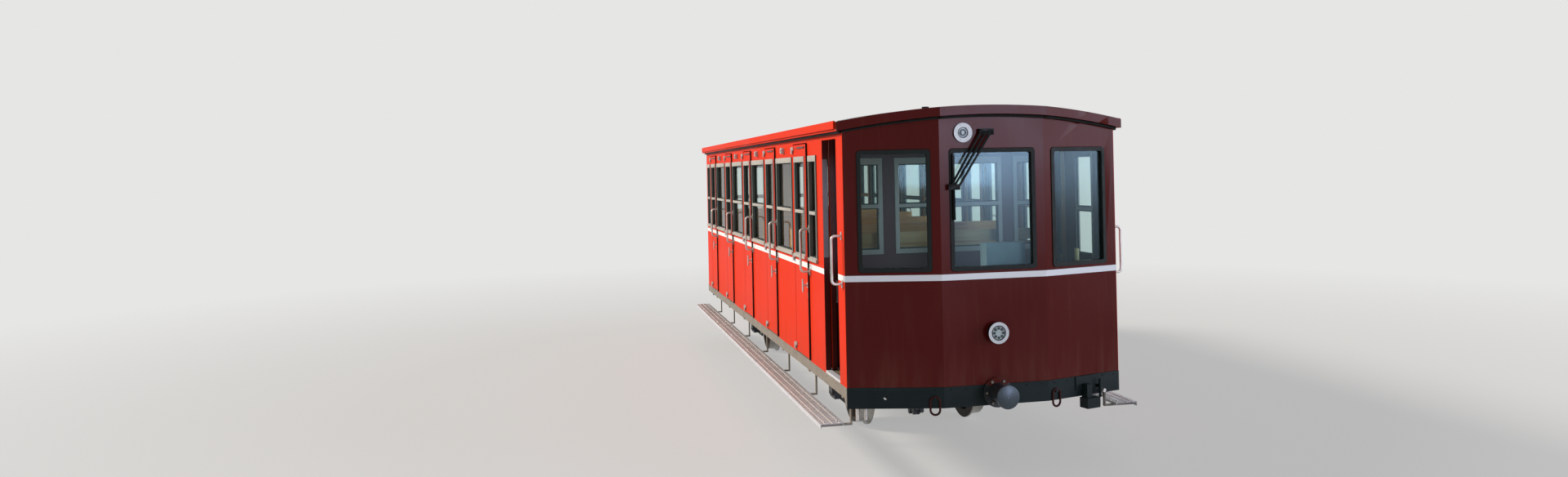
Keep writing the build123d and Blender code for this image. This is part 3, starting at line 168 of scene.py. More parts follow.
def thick_paint(name, colour, worn, patch_mm, rough, depth_mm=0.3, shine=0.3):
    """Semi-matt paint, brushed or stoved: a grainy skin, and dirt settled in patches and specks.
    The grain is drawn about four times as coarse as a real one, or it wouldn't show."""
    made, tree, shader, point = new_material(name, {"Specular IOR Level": shine})
    patches = add_node(tree, "TexNoise",
                       {"Scale": per_mm(patch_mm), "Detail": 6.0, "Roughness": 0.65},
                       {"Vector": point})
    settled = add_node(tree, "MapRange", {"From Min": 0.4, "From Max": 0.72, "To Max": 0.5},
                       {"Value": patches})
    paint = add_node(tree, "Mix", {"data_type": "RGBA", 6: linear(colour), 7: linear(worn)},
                     {0: settled}, 2)
    grit = add_node(tree, "TexNoise", {"Scale": per_mm(12), "Detail": 4.0}, {"Vector": point})
    specks = add_node(tree, "MapRange", {"From Min": 0.55, "From Max": 0.8, "To Max": 0.25},
                      {"Value": grit})
    paint = add_node(tree, "Mix", {"data_type": "RGBA", 7: linear(worn)}, {0: specks, 6: paint}, 2)
    tree.links.new(paint, shader.inputs["Base Color"])
    dull = add_node(tree, "MapRange", {"From Min": 0.3, "From Max": 0.7, "To Min": rough - 0.1,
                                       "To Max": rough + 0.15}, {"Value": grit})
    tree.links.new(dull, shader.inputs["Roughness"])
    skin = add_node(tree, "Bump", {"Distance": depth_mm * MM}, {"Height": grit})
    tree.links.new(skin, shader.inputs["Normal"])
    return made


def worked_metal(name, colour, dull, rough, line_mm=3, along=(1, 0.05, 1), metallic=1.0):
    """Drawn or rolled metal, handled and weathered: fine lines along it, and duller patches.
    The lines are drawn about five times as coarse as real ones, or they wouldn't show."""
    made, tree, shader, point = new_material(name, {"Metallic": metallic})
    patches = add_node(tree, "TexNoise", {"Scale": per_mm(130), "Detail": 5.0}, {"Vector": point})
    tarnish = add_node(tree, "MapRange", {"From Min": 0.38, "From Max": 0.7, "To Max": 0.7},
                       {"Value": patches})
    metal = add_node(tree, "Mix", {"data_type": "RGBA", 6: linear(colour), 7: linear(dull)},
                     {0: tarnish}, 2)
    tree.links.new(metal, shader.inputs["Base Color"])
    polish = add_node(tree, "MapRange", {"From Min": 0.3, "From Max": 0.75, "To Min": rough,
                                         "To Max": rough + 0.25}, {"Value": patches})
    tree.links.new(polish, shader.inputs["Roughness"])
    drawn = add_node(tree, "Mapping", {"Scale": along}, {"Vector": point})
    lines = add_node(tree, "TexNoise", {"Scale": per_mm(line_mm), "Detail": 4.0}, {"Vector": drawn})
    grain = add_node(tree, "Bump", {"Distance": 0.12 * MM}, {"Height": lines})
    tree.links.new(grain, shader.inputs["Normal"])
    return made


def varnished_wood(name, light, dark, along, ring_mm=18, rough=0.38, board_mm=0):
    """Sawn and planed boards under clear varnish: long fibres, and broader dark years between them.
    The fibres are drawn about five times as coarse as real ones, or they wouldn't show."""
    made, tree, shader, point = new_material(name, {"Coat Weight": 0.3})
    grain_way = add_node(tree, "Mapping", {"Scale": along}, {"Vector": point})
    years = add_node(tree, "TexNoise", {"Scale": per_mm(ring_mm), "Detail": 6.0, "Roughness": 0.6},
                     {"Vector": grain_way})
    shade = add_node(tree, "MapRange", {"From Min": 0.35, "From Max": 0.7}, {"Value": years})
    wood = add_node(tree, "Mix", {"data_type": "RGBA", 6: linear(light), 7: linear(dark)},
                    {0: shade}, 2)
    trees = add_node(tree, "TexNoise", {"Scale": per_mm(500), "Detail": 1.0}, {"Vector": point})
    darker = add_node(tree, "MapRange", {"From Min": 0.35, "From Max": 0.7, "To Max": 0.35},
                      {"Value": trees})
    wood = add_node(tree, "Mix", {"data_type": "RGBA", 7: linear(dark)}, {0: darker, 6: wood}, 2)
    if board_mm:
        across = add_node(tree, "SeparateXYZ", (), {"Vector": point}, "X")
        boards = add_node(tree, "Math", {"operation": "MULTIPLY", 1: per_mm(board_mm)}, {0: across})
        in_board = add_node(tree, "Math", {"operation": "FRACT"}, {0: boards})
        joint = add_node(tree, "Math", {"operation": "LESS_THAN", 1: 0.05}, {0: in_board})
        wood = add_node(tree, "Mix", {"data_type": "RGBA", 7: linear("#2A211A")},
                        {0: joint, 6: wood}, 2)
    tree.links.new(wood, shader.inputs["Base Color"])
    fibres = add_node(tree, "TexNoise", {"Scale": per_mm(3), "Detail": 3.0}, {"Vector": grain_way})
    gloss = add_node(tree, "MapRange", {"From Min": 0.3, "From Max": 0.7, "To Min": rough - 0.06,
                                        "To Max": rough + 0.12}, {"Value": fibres})
    tree.links.new(gloss, shader.inputs["Roughness"])
    raised = add_node(tree, "Bump", {"Distance": 0.15 * MM}, {"Height": fibres})
    tree.links.new(raised, shader.inputs["Normal"])
    return made


def black_rubber(name):
    """Extruded black rubber gone a little grey in the weather: a soft, broad shine, and a fine skin
    that is drawn several times as coarse as a real one, or it wouldn't show."""
    made, tree, shader, point = new_material(name, {"IOR": 1.52, "Specular IOR Level": 0.2})
    bloom = add_node(tree, "TexNoise", {"Scale": per_mm(40), "Detail": 5.0}, {"Vector": point})
    grey = add_node(tree, "MapRange", {"From Min": 0.4, "From Max": 0.75, "To Max": 0.6},
                    {"Value": bloom})
    skin = add_node(tree, "Mix", {"data_type": "RGBA", 6: linear("#0A0F0E"), 7: linear("#1B2422")},
                    {0: grey}, 2)
    tree.links.new(skin, shader.inputs["Base Color"])
    dull = add_node(tree, "MapRange", {"From Min": 0.3, "From Max": 0.7, "To Min": 0.45,
                                       "To Max": 0.7}, {"Value": bloom})
    tree.links.new(dull, shader.inputs["Roughness"])
    pores = add_node(tree, "TexNoise", {"Scale": per_mm(4), "Detail": 2.0}, {"Vector": point})
    fine = add_node(tree, "Bump", {"Distance": 0.08 * MM}, {"Height": pores})
    tree.links.new(fine, shader.inputs["Normal"])
    return made


def float_glass(name, tint, shine, sky="#BFCDD4", haze=0.04):
    """Flat drawn glass: clear straight on and like a mirror at a slant, a little wavy, with an even
    veil of mirror that is painted sky reflection, a little stronger in patches as dust leaves it.
    Its mirror part has the grey-blue of open sky, a painted reflection, which haze spreads as dust
    on a pane does. Only a pane's outer face mirrors at a slant, because light that leaves a flat
    pane isn't held back in it."""
    values = {"Base Color": linear(sky), "Metallic": 1.0, "Roughness": haze}
    made, tree, shader, point = new_material(name, values)
    clear = add_node(tree, "BsdfTransparent", {"Color": linear(tint)})
    bent = add_node(tree, "Fresnel", {"IOR": 1.5})
    leaving = add_node(tree, "NewGeometry", output="Backfacing")
    entering = add_node(tree, "Math", {"operation": "SUBTRACT", 0: 1.0}, {1: leaving})
    slant = add_node(tree, "Math", {"operation": "MULTIPLY"}, {0: bent, 1: entering})
    # An even share of mirror over the pane, painted sky reflection, and a little more in patches of
    # dust.
    marks = add_node(tree, "TexNoise", {"Scale": per_mm(300), "Detail": 3.0}, {"Vector": point})
    sky_veil_and_dust = add_node(tree, "MapRange", {"From Min": 0.3, "From Max": 0.8, "To Min": shine,
                                       "To Max": shine + 0.01}, {"Value": marks})
    share = add_node(tree, "Math", {"operation": "ADD"}, {0: slant, 1: sky_veil_and_dust})
    surface = add_node(tree, "MixShader", (), {0: share, 1: clear, 2: shader.outputs[0]})
    tree.links.new(surface, tree.nodes["Material Output"].inputs["Surface"])
    drawn = add_node(tree, "TexNoise", {"Scale": per_mm(700), "Detail": 1.0}, {"Vector": point})
    wavy = add_node(tree, "Bump", {"Distance": 0.6 * MM}, {"Height": drawn})
    tree.links.new(wavy, shader.inputs["Normal"])
    return made


along_x, along_y, along_z = (0.06, 1, 1), (1, 0.06, 1), (1, 1, 0.06)
coach_red = enamel("brushed_enamel_coach_red", "#DA3419", "#DD3D20", shine=0.02)
# The nose's red is the coach's red darkened as painted shade, because the nose stands in shade.
nose_red_painted_shade = enamel("enamel_red_painted_nose_shade", "#521412", "#591A16", shine=0.09, rough=0.22)
# The inner red is the coach's red darkened as painted shade, for faces inside the cab, in the
# doorways and on the platform.
inner_red_painted_shade = thick_paint("enamel_red_painted_inner_shade", "#4E1917", "#5B2320", 500, 0.4, depth_mm=0.05,
                        shine=0.2)
# The dark grey on the window frames' stiles is painted shade: the frames are light grey, and this
# stands for their shaded sides.
stile_grey_painted_shade = thick_paint("frame_sides_grey_painted_shade", "#565E59", "#666C67", 300, 0.5, depth_mm=0.05)
frame_paint = thick_paint("stoved_light_grey_frames", "#AFACA4", "#8F8C85", 300, 0.4, depth_mm=0.05)
# The jamb strips' mauve-grey is a light grey darkened as painted shade.
jamb_grey_painted_shade = thick_paint("jamb_strip_grey_painted_shade", "#8F8188", "#75686F", 200, 0.45, depth_mm=0.05)
lining = varnished_wood("varnished_ply_lining", "#C9A26A", "#B98F58", along_z, ring_mm=120)
ceiling = thick_paint("cream_ceiling_paint", "#D9D2C1", "#C2B9A5", 500, 0.5, depth_mm=0.05)
seal_rubber = black_rubber("extruded_rubber_seal")
# The panes' grey-blue mirror tint is painted sky reflection, and the nose panes have an even veil
# of it.
window_glass = float_glass("drawn_window_glass", "#F6FAF8", 0.0)
nose_pane = float_glass("laminated_nose_glass", "#EAF3F3", 0.02, "#8FA9B4", haze=0.18)
chassis_paint = thick_paint("semi_matt_chassis_green", "#0D1A1B", "#1B2625", 200, 0.5, shine=0.15)
sole_paint = thick_paint("weathered_beige_channel_paint", "#8B857C", "#665F56", 160, 0.5,
                         shine=0.15)
roof_paint = thick_paint("chalky_roof_grey", "#B9BBBA", "#94969A", 700, 0.7, shine=0.08)
board_zinc = worked_metal("worn_galvanised_steel", "#B0ABAC", "#969293", 0.5, 8, metallic=0.2)
tread_zinc = worked_metal("trodden_grating_zinc", "#ECE8E6", "#CFCBC9", 0.45, 8, metallic=0.2)
# The lip's bright zinc is partly wear and partly painted highlight, standing for the light that
# worn edges catch.
lip_zinc_wear_and_highlight = worked_metal("board_lip_wear_and_painted_highlight", "#D6D8DF", "#B4B5BC", 0.4, 8, metallic=0.3)
rail_steel = worked_metal("polished_handrail_steel", "#D5CFCB", "#ABA5A2", 0.28, 2,
                          (1, 1, 0.05), 0.6)
zinc_screw = worked_metal("zinc_plated_screw", "#C9C9C6", "#97958F", 0.3)
iron = thick_paint("oiled_cast_iron", "#22272B", "#3A3937", 90, 0.36, depth_mm=0.4)
buffer_steel = worked_metal("greased_buffer_steel", "#414A52", "#2B3138", 0.3, 6, (1, 1, 1), 0.6)
tread_steel = worked_metal("rolled_wheel_steel", "#A9A6A1", "#7B756E", 0.22)
wheel_paint = thick_paint("grimy_wheel_paint", "#3A3431", "#5A4A3D", 120, 0.6, depth_mm=0.4)
bench_wood = varnished_wood("varnished_ash_slats", "#EBAF5C", "#C98A3E", along_x)
floor_wood = varnished_wood("worn_larch_floor", "#8B7A63", "#5F5140", along_y, rough=0.6,
                            board_mm=120)
desk_paint = thick_paint("hammered_desk_grey", "#6C8088", "#566A72", 60, 0.35, depth_mm=0.1)
grip_plastic = thick_paint("moulded_cream_grip", "#D9C58B", "#B59E63", 40, 0.3, depth_mm=0.02)
lamp_white = thick_paint("white_lamp_enamel", "#D2D5D7", "#B9BCBD", 80, 0.25, depth_mm=0.03)
lamp_black = thick_paint("black_lamp_enamel", "#15191A", "#25292A", 80, 0.3, depth_mm=0.03)
lens_glass = thick_paint("moulded_lamp_lens", "#A5B2B2", "#BCC6C4", 20, 0.15, depth_mm=0.05,
                         shine=0.5)
smoked_lens = thick_paint("smoked_lamp_lens", "#7F9496", "#92A39F", 20, 0.2, depth_mm=0.05,
                          shine=0.4)
lens_bead = thick_paint("dark_lamp_bead", "#2E3B40", "#4A575A", 10, 0.12, depth_mm=0.02, shine=0.5)
# The hoops' dark red-brown is their red darkened as painted shade, as they hang under the shaded
# nose; the darker patches are wear.
hoop_shade_and_wear_paint = thick_paint("hoop_red_painted_shade_and_wear", "#3C1A1A", "#221413", 30, 0.5, shine=0.1)
wiper_black = thick_paint("satin_black_wiper", "#0B0D0E", "#171A1B", 60, 0.4, depth_mm=0.02,
                          shine=0.15)


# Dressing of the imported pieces

def dress(name, material, chosen=()):
    """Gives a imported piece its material, and others to the faces that a test picks:
    chosen is a list of (material, test of face middle and normal)."""
    piece = nodes[name]
    piece.data.materials.clear()
    piece.data.materials.append(material)
    for number, (other, test) in enumerate(chosen, start=1):
        piece.data.materials.append(other)
        for face in piece.data.polygons:
            if test(face.center, face.normal):
                face.material_index = number


def soften(name, width_mm=2.0, segments=2):
    """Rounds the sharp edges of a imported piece, as folded sheet and planed wood have them."""
    weld = nodes[name].modifiers.new("weld", "WELD")
    weld.merge_threshold = 0.05 * MM
    bevel = nodes[name].modifiers.new("edge", "BEVEL")
    bevel.width = width_mm * MM
    bevel.segments = segments
    bevel.limit_method = "ANGLE"
    bevel.angle_limit = radians(35)
    bevel.harden_normals = True


def within(c, low, high, out_mm):
    """Whether a face's middle is level with a box, along the coach and upward."""
    reach = out_mm * MM
    return low.y - reach < c.y < high.y + reach and low.z - 1.6 * reach < c.z < high.z + 2.1 * reach


def on_sill(c):
    """Whether a face's middle is on an outside window's sill."""
    sill_high = sill_z - MM < c.z < sill_z + 36 * MM
    return abs(c.x) > side_x + 9.5 * MM or sill_high and abs(c.x) > side_x + MM


def off_leaf(c, n):
    """Whether a face belongs to a door's window frame and not to the flat faces of its leaf."""
    return abs(c.x) > side_x - 36 * MM and (abs(n.x) < 0.9 or abs(abs(c.x) - side_x) > 0.5 * MM)


# The nose wall takes the red darkened as painted shade, and its inside faces take the inner red,
# also darkened as painted shade.
dress("nose_wall", nose_red_painted_shade, [(inner_red_painted_shade, lambda c, n: n.y > 0.5)])
dress("rear_wall", coach_red, [(lining, lambda c, n: n.y < -0.5)])
dress("roof", roof_paint, [
    (ceiling, lambda c, n: n.z < -0.5),
    (chassis_paint, lambda c, n: hypot(c.x - knob_x, c.y - knob_y) < 30 * MM
     and c.z > roof_crown_z - 8 * MM),
])
# The band's part over the nose takes the red darkened as painted shade.
dress("roof_band", coach_red, [(nose_red_painted_shade, lambda c, n: c.y < corner_y - 2 * MM)])
for name, side in sides.items():
    dress(f"{name}_side_wall", coach_red, [
        (lining, lambda c, n: abs(c.x) < wall_inner + MM),
        (rail_steel, lambda c, n: abs(c.x) > side_x + MM),
        # The doorway jambs take the red darkened as painted shade.
        (inner_red_painted_shade, lambda c, n: abs(abs(c.y - doorway_centre) - half_doorway) < MM
         and abs(n.y) > 0.5),
    ])
    for number in range(1, 6):
        low, high = box[f"door_{name}_{number}_glass"]
        dress(f"door_{name}_{number}", coach_red, [
            (lining, lambda c, n: abs(c.x) < side_x - 36 * MM),
            (rail_steel, lambda c, n: abs(c.x) > side_x + MM),
            # A door window frame's sides take the dark grey of painted shade.
            (stile_grey_painted_shade, lambda c, n, low=low, high=high: within(c, low, high, 30)
             and off_leaf(c, n)),
            (frame_paint, lambda c, n, low=low, high=high: within(c, low, high, 30) and on_sill(c)),
            (lamp_black, lambda c, n, y=low.y: side_x + MM < abs(c.x) < side_x + 9 * MM
             and c.z > window_top_z + 40 * MM and c.y < y + 330 * MM),
        ])
        dress(f"door_{name}_{number}_glass", window_glass)
    low, high = box[f"platform_door_{name}_glass"]
    # The sliding door's edges and inside take the red darkened as painted shade; its outside face
    # takes the coach red.
    dress(f"platform_door_{name}", inner_red_painted_shade, [
        (coach_red, lambda c, n, side=side: n.x * side > 0.9),
        (frame_paint, lambda c, n, low=low, high=high: within(c, low, high, 24)),
        (rail_steel, lambda c, n: abs(c.x) < side_x - 92 * MM),
    ])
    dress(f"platform_door_{name}_glass", window_glass)
# The window frames take the dark grey of painted shade, and light grey on their sills and inner
# faces.
dress("window_frames", stile_grey_painted_shade, [
    (frame_paint, lambda c, n: on_sill(c) or abs(c.x) < side_x - 60 * MM),
])
dress("window_glass", window_glass)
dress("nose_window_seals", seal_rubber)
dress("nose_glass", nose_pane)
dress("floor", floor_wood)
# The bulkhead's face takes the red darkened as painted shade.
dress("platform_bulkhead", inner_red_painted_shade)
# The thresholds take the same bright zinc: wear and painted highlight.
dress("platform_thresholds", lip_zinc_wear_and_highlight)
dress("seat_benches", bench_wood)
dress("driver_desk", desk_paint, [
    (grip_plastic, lambda c, n: c.x > lever_x and c.z > lever_grip_z),
])
for name in ("front_skirt", "rear_headstock", "underframe", "axle_guards"):
    dress(name, chassis_paint)
dress("end_couplings", chassis_paint, [
    (rail_steel, lambda c, n: abs(c.x) > pipe_x
     or c.x > pipe_x - 45 * MM and c.z < rail_top_z + 504 * MM),
])
for name in ("sole_bars", "board_hangers"):
    dress(name, sole_paint)
# The boards' edges take the bright zinc of wear and painted highlight.
dress("running_boards", board_zinc, [(lip_zinc_wear_and_highlight, lambda c, n: abs(n.x) > 0.5)])
dress("grab_rails", rail_steel)
dress("headlamp_housings", lamp_white, [(lamp_black, lambda c, n: abs(n.y) < 0.5)])
dress("headlamp_lenses", lens_glass, [
    (smoked_lens, lambda c, n: c.z > sill_z
     and hypot(c.x - lamp_high.x, c.z - lamp_high.z) > 18 * MM),
    (lens_bead, lambda c, n: n.y < -0.5 and c.y < nose_y - (12 if c.z > sill_z else 53) * MM),
])
dress("wiper", wiper_black)
dress("front_buffer", iron, [
    # The flange's top over the nose takes the nose's red darkened as painted shade.
    (nose_red_painted_shade, lambda c, n: c.y > nose_y - 17 * MM and c.z > wall_low_z),
    (sole_paint, lambda c, n: nose_y - 26 * MM < c.y < nose_y - 24 * MM
     and hypot(c.x, c.z - buffer_z) > 78 * MM),
    (buffer_steel, lambda c, n: c.y < box["front_buffer"][0].y + 60 * MM and n.y < 0.5),
])
for name in ("rear_buffer", "axle_boxes", "brake_pinion", "leaf_springs", "brake_bands"):
    dress(name, iron)
# Hoops in their red darkened as painted shade.
dress("towing_hoops", hoop_shade_and_wear_paint)
for name, y in zip(("front_wheelset", "rear_wheelset"), axle_ys):
    dress(name, wheel_paint, [
        (tread_steel, lambda c, n, y=y: hypot(c.y - y, c.z - axle_z) > tread_radius
         and abs(n.x) < 0.9),
    ])

for name in ("nose_wall", "rear_wall", "front_skirt"):
    soften(name, 4.0, 3)
for name in ("roof_band", "sole_bars", "seat_benches", "driver_desk", "window_frames",
             "axle_boxes"):
    soften(name)


# Shapes for the added pieces

def facing(place, normal, up=(0, 0, 1)):
    """The frame of a piece that sits at a place with its own Z along the normal."""
    out = Vector(normal).normalized()
    across = Vector(up).cross(out).normalized()
    turn = Matrix((across, out.cross(across), out)).transposed().to_4x4()
    return Matrix.Translation(place) @ turn


def nose_place(side, reach, z):
    """A place on the nose: on its middle panel, side 0, reach is how far across, and on a slanted
    panel it is how far in from the corner post."""
    if side == 0:
        return facing((reach, nose_y, z), (0, -1, 0))
    along = Vector((side * (half_face - side_x), nose_y - corner_y, 0)).normalized()
    place = Vector((side * side_x, corner_y, z)) + along * reach
    return facing(place, (-side * along.y, side * along.x, 0))


def block(work, size_mm, place, edge_mm=1.0):
    """A block with rounded edges, whose back lies on its frame's plane."""
    across, up, out = (value * MM for value in size_mm)
    shape = place @ Matrix.Translation((0, 0, out / 2)) @ Matrix.Diagonal((across, up, out, 1))
    made = bmesh.ops.create_cube(work, size=1, matrix=shape)
    if edge_mm:
        edges = list(dict.fromkeys(edge for vert in made["verts"] for edge in vert.link_edges))
        bmesh.ops.bevel(work, geom=edges, offset=edge_mm * MM, segments=2, affect="EDGES",
                        profile=0.5)


def turned(work, profile_mm, place, steps):
    """A round piece on its frame's Z: profile is pairs of radius and height from its foot up."""
    rings = []
    for radius, height in profile_mm:
        angles = [2 * pi * step / steps for step in range(steps)] if radius else [0.0]
        points = [Vector((radius * cos(a), radius * sin(a), height)) * MM for a in angles]
        rings.append([work.verts.new(place @ point) for point in points])
    for low, high in zip(rings, rings[1:]):
        for step in range(steps):
            after = (step + 1) % steps
            corners = [low[step % len(low)], low[after % len(low)],
                       high[after % len(high)], high[step % len(high)]]
            work.faces.new([vert for number, vert in enumerate(corners)
                            if vert not in corners[:number]])


def bolt(work, place, radius_mm):
    """A hexagon bolt head on its washer."""
    rim, top = radius_mm * 1.5, radius_mm * 0.75
    turned(work, ((0, 0), (rim, 0), (rim, 1.2), (radius_mm, 1.4), (0, 1.4)), place, 16)
    head = ((0, 1), (radius_mm, 1), (radius_mm, 1 + top * 0.8), (radius_mm * 0.86, 1 + top),
            (0, 1 + top))
    turned(work, head, place, 6)


def rivet(work, place, radius_mm):
    """A domed rivet or screw head."""
    dome = [(radius_mm * cos(a), radius_mm * 0.55 * sin(a)) for a in (0.0, 0.5, 1.0)]
    turned(work, [(radius_mm, -0.5), *dome, (0, radius_mm * 0.55)], place, 12)


def strip_round(work, half_across, half_up, width_mm, depth_mm, place):
    """A soft four-sided strip just inside the edge of a rectangle on its frame's plane."""
    w, d = width_mm * MM, depth_mm * MM
    loops = []
    for inset, height in ((0, 0), (0, d * 0.7), (w * 0.3, d), (w * 0.8, d), (w, d * 0.6), (w, 0)):
        x, y = half_across - inset, half_up - inset
        loops.append([work.verts.new(place @ Vector(corner)) for corner in
                      ((-x, -y, height), (x, -y, height), (x, y, height), (-x, y, height))])
    for number, loop in enumerate(loops):
        after = loops[(number + 1) % len(loops)]
        for corner in range(4):
            beside = (corner + 1) % 4
            work.faces.new((loop[corner], loop[beside], after[beside], after[corner]))


def settle(work):
    """Puts a mesh's corners and faces in order of place, because a bevel leaves its faces in
    another order each run."""
    for parts, where in ((work.verts, lambda part: part.co[:]),
                         (work.faces, lambda part: part.calc_center_median()[:])):
        order = {part: number for number, part in enumerate(sorted(parts, key=where))}
        parts.sort(key=order.get)


def put(name, build, material, body="root", smooth=True):
    """A new piece on a body, with the mesh that build fills."""
    work = bmesh.new()
    build(work)
    bmesh.ops.recalc_face_normals(work, faces=work.faces)
    settle(work)
    mesh = bpy.data.meshes.new(name)
    work.to_mesh(mesh)
    work.free()
    mesh.materials.append(material)
    if smooth:
        mesh.shade_smooth()
        mesh.set_sharp_from_angle(angle=radians(35))
    made = bpy.data.objects.new(name, mesh)
    bpy.context.scene.collection.objects.link(made)
    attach(made, body)
    return made


# Added pieces

def panes_of(name):
    """The lowest and highest corners of each pane of a glass piece, in the same order each run."""
    work = bmesh.new()
    work.from_mesh(nodes[name].data)
    bmesh.ops.remove_doubles(work, verts=work.verts, dist=0.05 * MM)
    left = set(work.verts)
    found = []
    while left:
        reached = [left.pop()]
        pane = list(reached)
        while reached:
            beside = {vert for edge in reached.pop().link_edges for vert in edge.verts} & left
            left -= beside
            reached.extend(beside)
            pane.extend(beside)
        found.append((Vector([min(vert.co[axis] for vert in pane) for axis in range(3)]),
                      Vector([max(vert.co[axis] for vert in pane) for axis in range(3)])))
    work.free()
    return sorted(found, key=lambda corners: [corner[:] for corner in corners])


def gaskets(work, name):
    """Rubber strips round each pane of a glass piece, on both of its faces."""
    for low, high in panes_of(name):
        half = (high - low) / 2
        flat = Vector((1, 0, 0)) if half.x < half.y else Vector((0, 1, 0))
        for way in (flat, -flat):
            place = facing((low + high) / 2 + way * min(half.x, half.y), way)
            strip_round(work, max(half.x, half.y), half.z, 9, 4, place)


put("window_gaskets", partial(gaskets, name="window_glass"), seal_rubber)
for name in sides:
    for number in range(1, 6):
        door = f"door_{name}_{number}"
        put(f"{door}_gaskets", partial(gaskets, name=f"{door}_glass"), seal_rubber,
            f"side_{door}")
    door = f"platform_door_{name}"
    put(f"{door}_gaskets", partial(gaskets, name=f"{door}_glass"), seal_rubber,
        f"sliding_door_{name}")


def door_stops(work):
    """Rubber-faced stops on the wall's inside, behind the gap round each door."""
    height = door_top_z - floor_z
    for side in sides.values():
        for centre in door_centres:
            for end in (-1, 1):
                y = centre + end * (half_opening - 2 * MM)
                place = (side * wall_inner, y, floor_z + height / 2)
                block(work, (28, height / MM, 10), facing(place, (-side, 0, 0)), 2)
            place = (side * wall_inner, centre, door_top_z - 2 * MM)
            block(work, (2 * half_opening / MM, 28, 10), facing(place, (-side, 0, 0)), 2)


def jamb_strips(work):
    """Grey rubbing strips on the rear jambs of the platform doorways, in a mauve-grey that is a
    light grey darkened as painted shade.
    """
    y, z = doorway_centre + half_doorway, rail_top_z + 1979 * MM
    for side in sides.values():
        block(work, (40, 781, 4), facing((side * (side_x - 22 * MM), y, z), (0, -1, 0)), 1.5)


def lock_plates(work):
    """Lock plates on the front jambs of the platform doorways, with their screws."""
    y = doorway_centre - half_doorway
    for side in sides.values():
        z = rail_top_z + 1.509
        block(work, (36, 34, 4), facing((side * (side_x - 20 * MM), y, z), (0, 1, 0)))
        for up in (-10, 10):
            rivet(work, facing((side * (side_x - 20 * MM), y + 4 * MM, z + up * MM), (0, 1, 0)), 3)


def lamp_screws(work):
    """Screws round the upper lamp's flat ring, and in the lower lamp's rim."""
    for centre, ring, count, radius in ((lamp_high, 58, 8, 4.0), (lamp_low, 66, 4, 3.0)):
        for number in range(count):
            a = 2 * pi * (number + 0.5) / count
            place = centre + Vector((cos(a), 0, sin(a))) * ring * MM
            rivet(work, facing(place, (0, -1, 0)), radius)


def lamp_gaskets(work):
    """Dark rings between the lamps' rims and lenses, and round the middle of the upper one."""
    for centre, inner, outer in ((lamp_high, 17, 25), (lamp_high, 35, 41), (lamp_low, 49, 56)):
        profile = ((inner, -7), (inner, 0.5), (inner + 1.5, 1.6), (outer - 1, 1.6), (outer, 0),
                   (outer, -1), (inner, -7))
        turned(work, profile, facing(centre, (0, -1, 0)), 48)


def board_treads(work):
    """The running boards' raised tread: close cross bars, with three bars along them."""
    start, end = box["running_boards"][0].y, box["running_boards"][1].y
    count = int((end - start) / (26 * MM))
    for side in sides.values():
        middle = side * (tread_inner + tread_outer) / 2
        for number in range(count):
            y = start + (number + 0.5) * (end - start) / count
            place = facing((middle, y, board_z), (0, 0, 1), (0, 1, 0))
            block(work, ((tread_outer - tread_inner) / MM, 5, 2.5), place, 0)
        for across in (-56, 0, 56):
            place = facing((middle + across * MM, (start + end) / 2, board_z), (0, 0, 1), (0, 1, 0))
            block(work, (5, (end - start) / MM, 3.2), place, 0)


def sole_rivets(work):
    """Rivets along the sole bars."""
    for side in sides.values():
        for number in range(28):
            y = corner_y + 0.03 + number * (rear_y - corner_y - 0.06) / 27
            for down in (18, 66):
                place = (side * (side_x + 4 * MM), y, wall_low_z - down * MM)
                rivet(work, facing(place, (side, 0, 0)), 6)


def board_bolts(work):
    """Round-headed bolts that hold the running boards on their hangers."""
    for side in sides.values():
        for number in range(7):
            y = corner_y + 0.12 + number * 1.08
            for x in hanger_bolts:
                rivet(work, facing((side * x, y, board_z + 2.5 * MM), (0, 0, 1), (0, 1, 0)), 8)


def skirt_bolts(work):
    """Bolts along the top edges of the skirt and the rear headstock."""
    z = wall_low_z - 20 * MM
    for x in (-0.36, -0.24, 0.24, 0.36):
        bolt(work, nose_place(0, x, z), 5)
    for side in sides.values():
        for number in range(6):
            bolt(work, nose_place(side, 0.05 + number * 0.12, z), 5)
        for number in range(8):
            bolt(work, facing((side * (0.14 + number * 0.11), rear_y, z), (0, 1, 0)), 5)


def roof_ribs(work):
    """Rounded sheet joints across the roof, bent to its arch."""
    axis_z = roof_crown_z - roof_radius
    reach = asin(1.11 / roof_radius)
    for start in [corner_y + 60 * MM, *bay_starts, rear_y - 60 * MM]:
        rows = []
        for step in range(25):
            a = -reach + 2 * reach * step / 24
            rows.append([work.verts.new(((roof_radius + high * MM) * sin(a), start + across * MM,
                                         axis_z + (roof_radius + high * MM) * cos(a)))
                         for across, high in ((-14, 0), (-9, 5), (9, 5), (14, 0))])
        for row, after in zip(rows, rows[1:]):
            for number in range(3):
                work.faces.new((row[number], row[number + 1], after[number + 1], after[number]))


def rail_screws(work):
    """Screws in the foot plates of the grab rails."""
    rails = [corner_y + 65 * MM, *(centre - half_opening - 27 * MM for centre in door_centres)]
    for side in sides.values():
        for y in rails:
            for level in rail_foot_levels:
                for up in (-21, 21):
                    place = (side * (side_x + 6 * MM), y, rail_top_z + (level + up) * MM)
                    rivet(work, facing(place, (side, 0, 0)), 4)


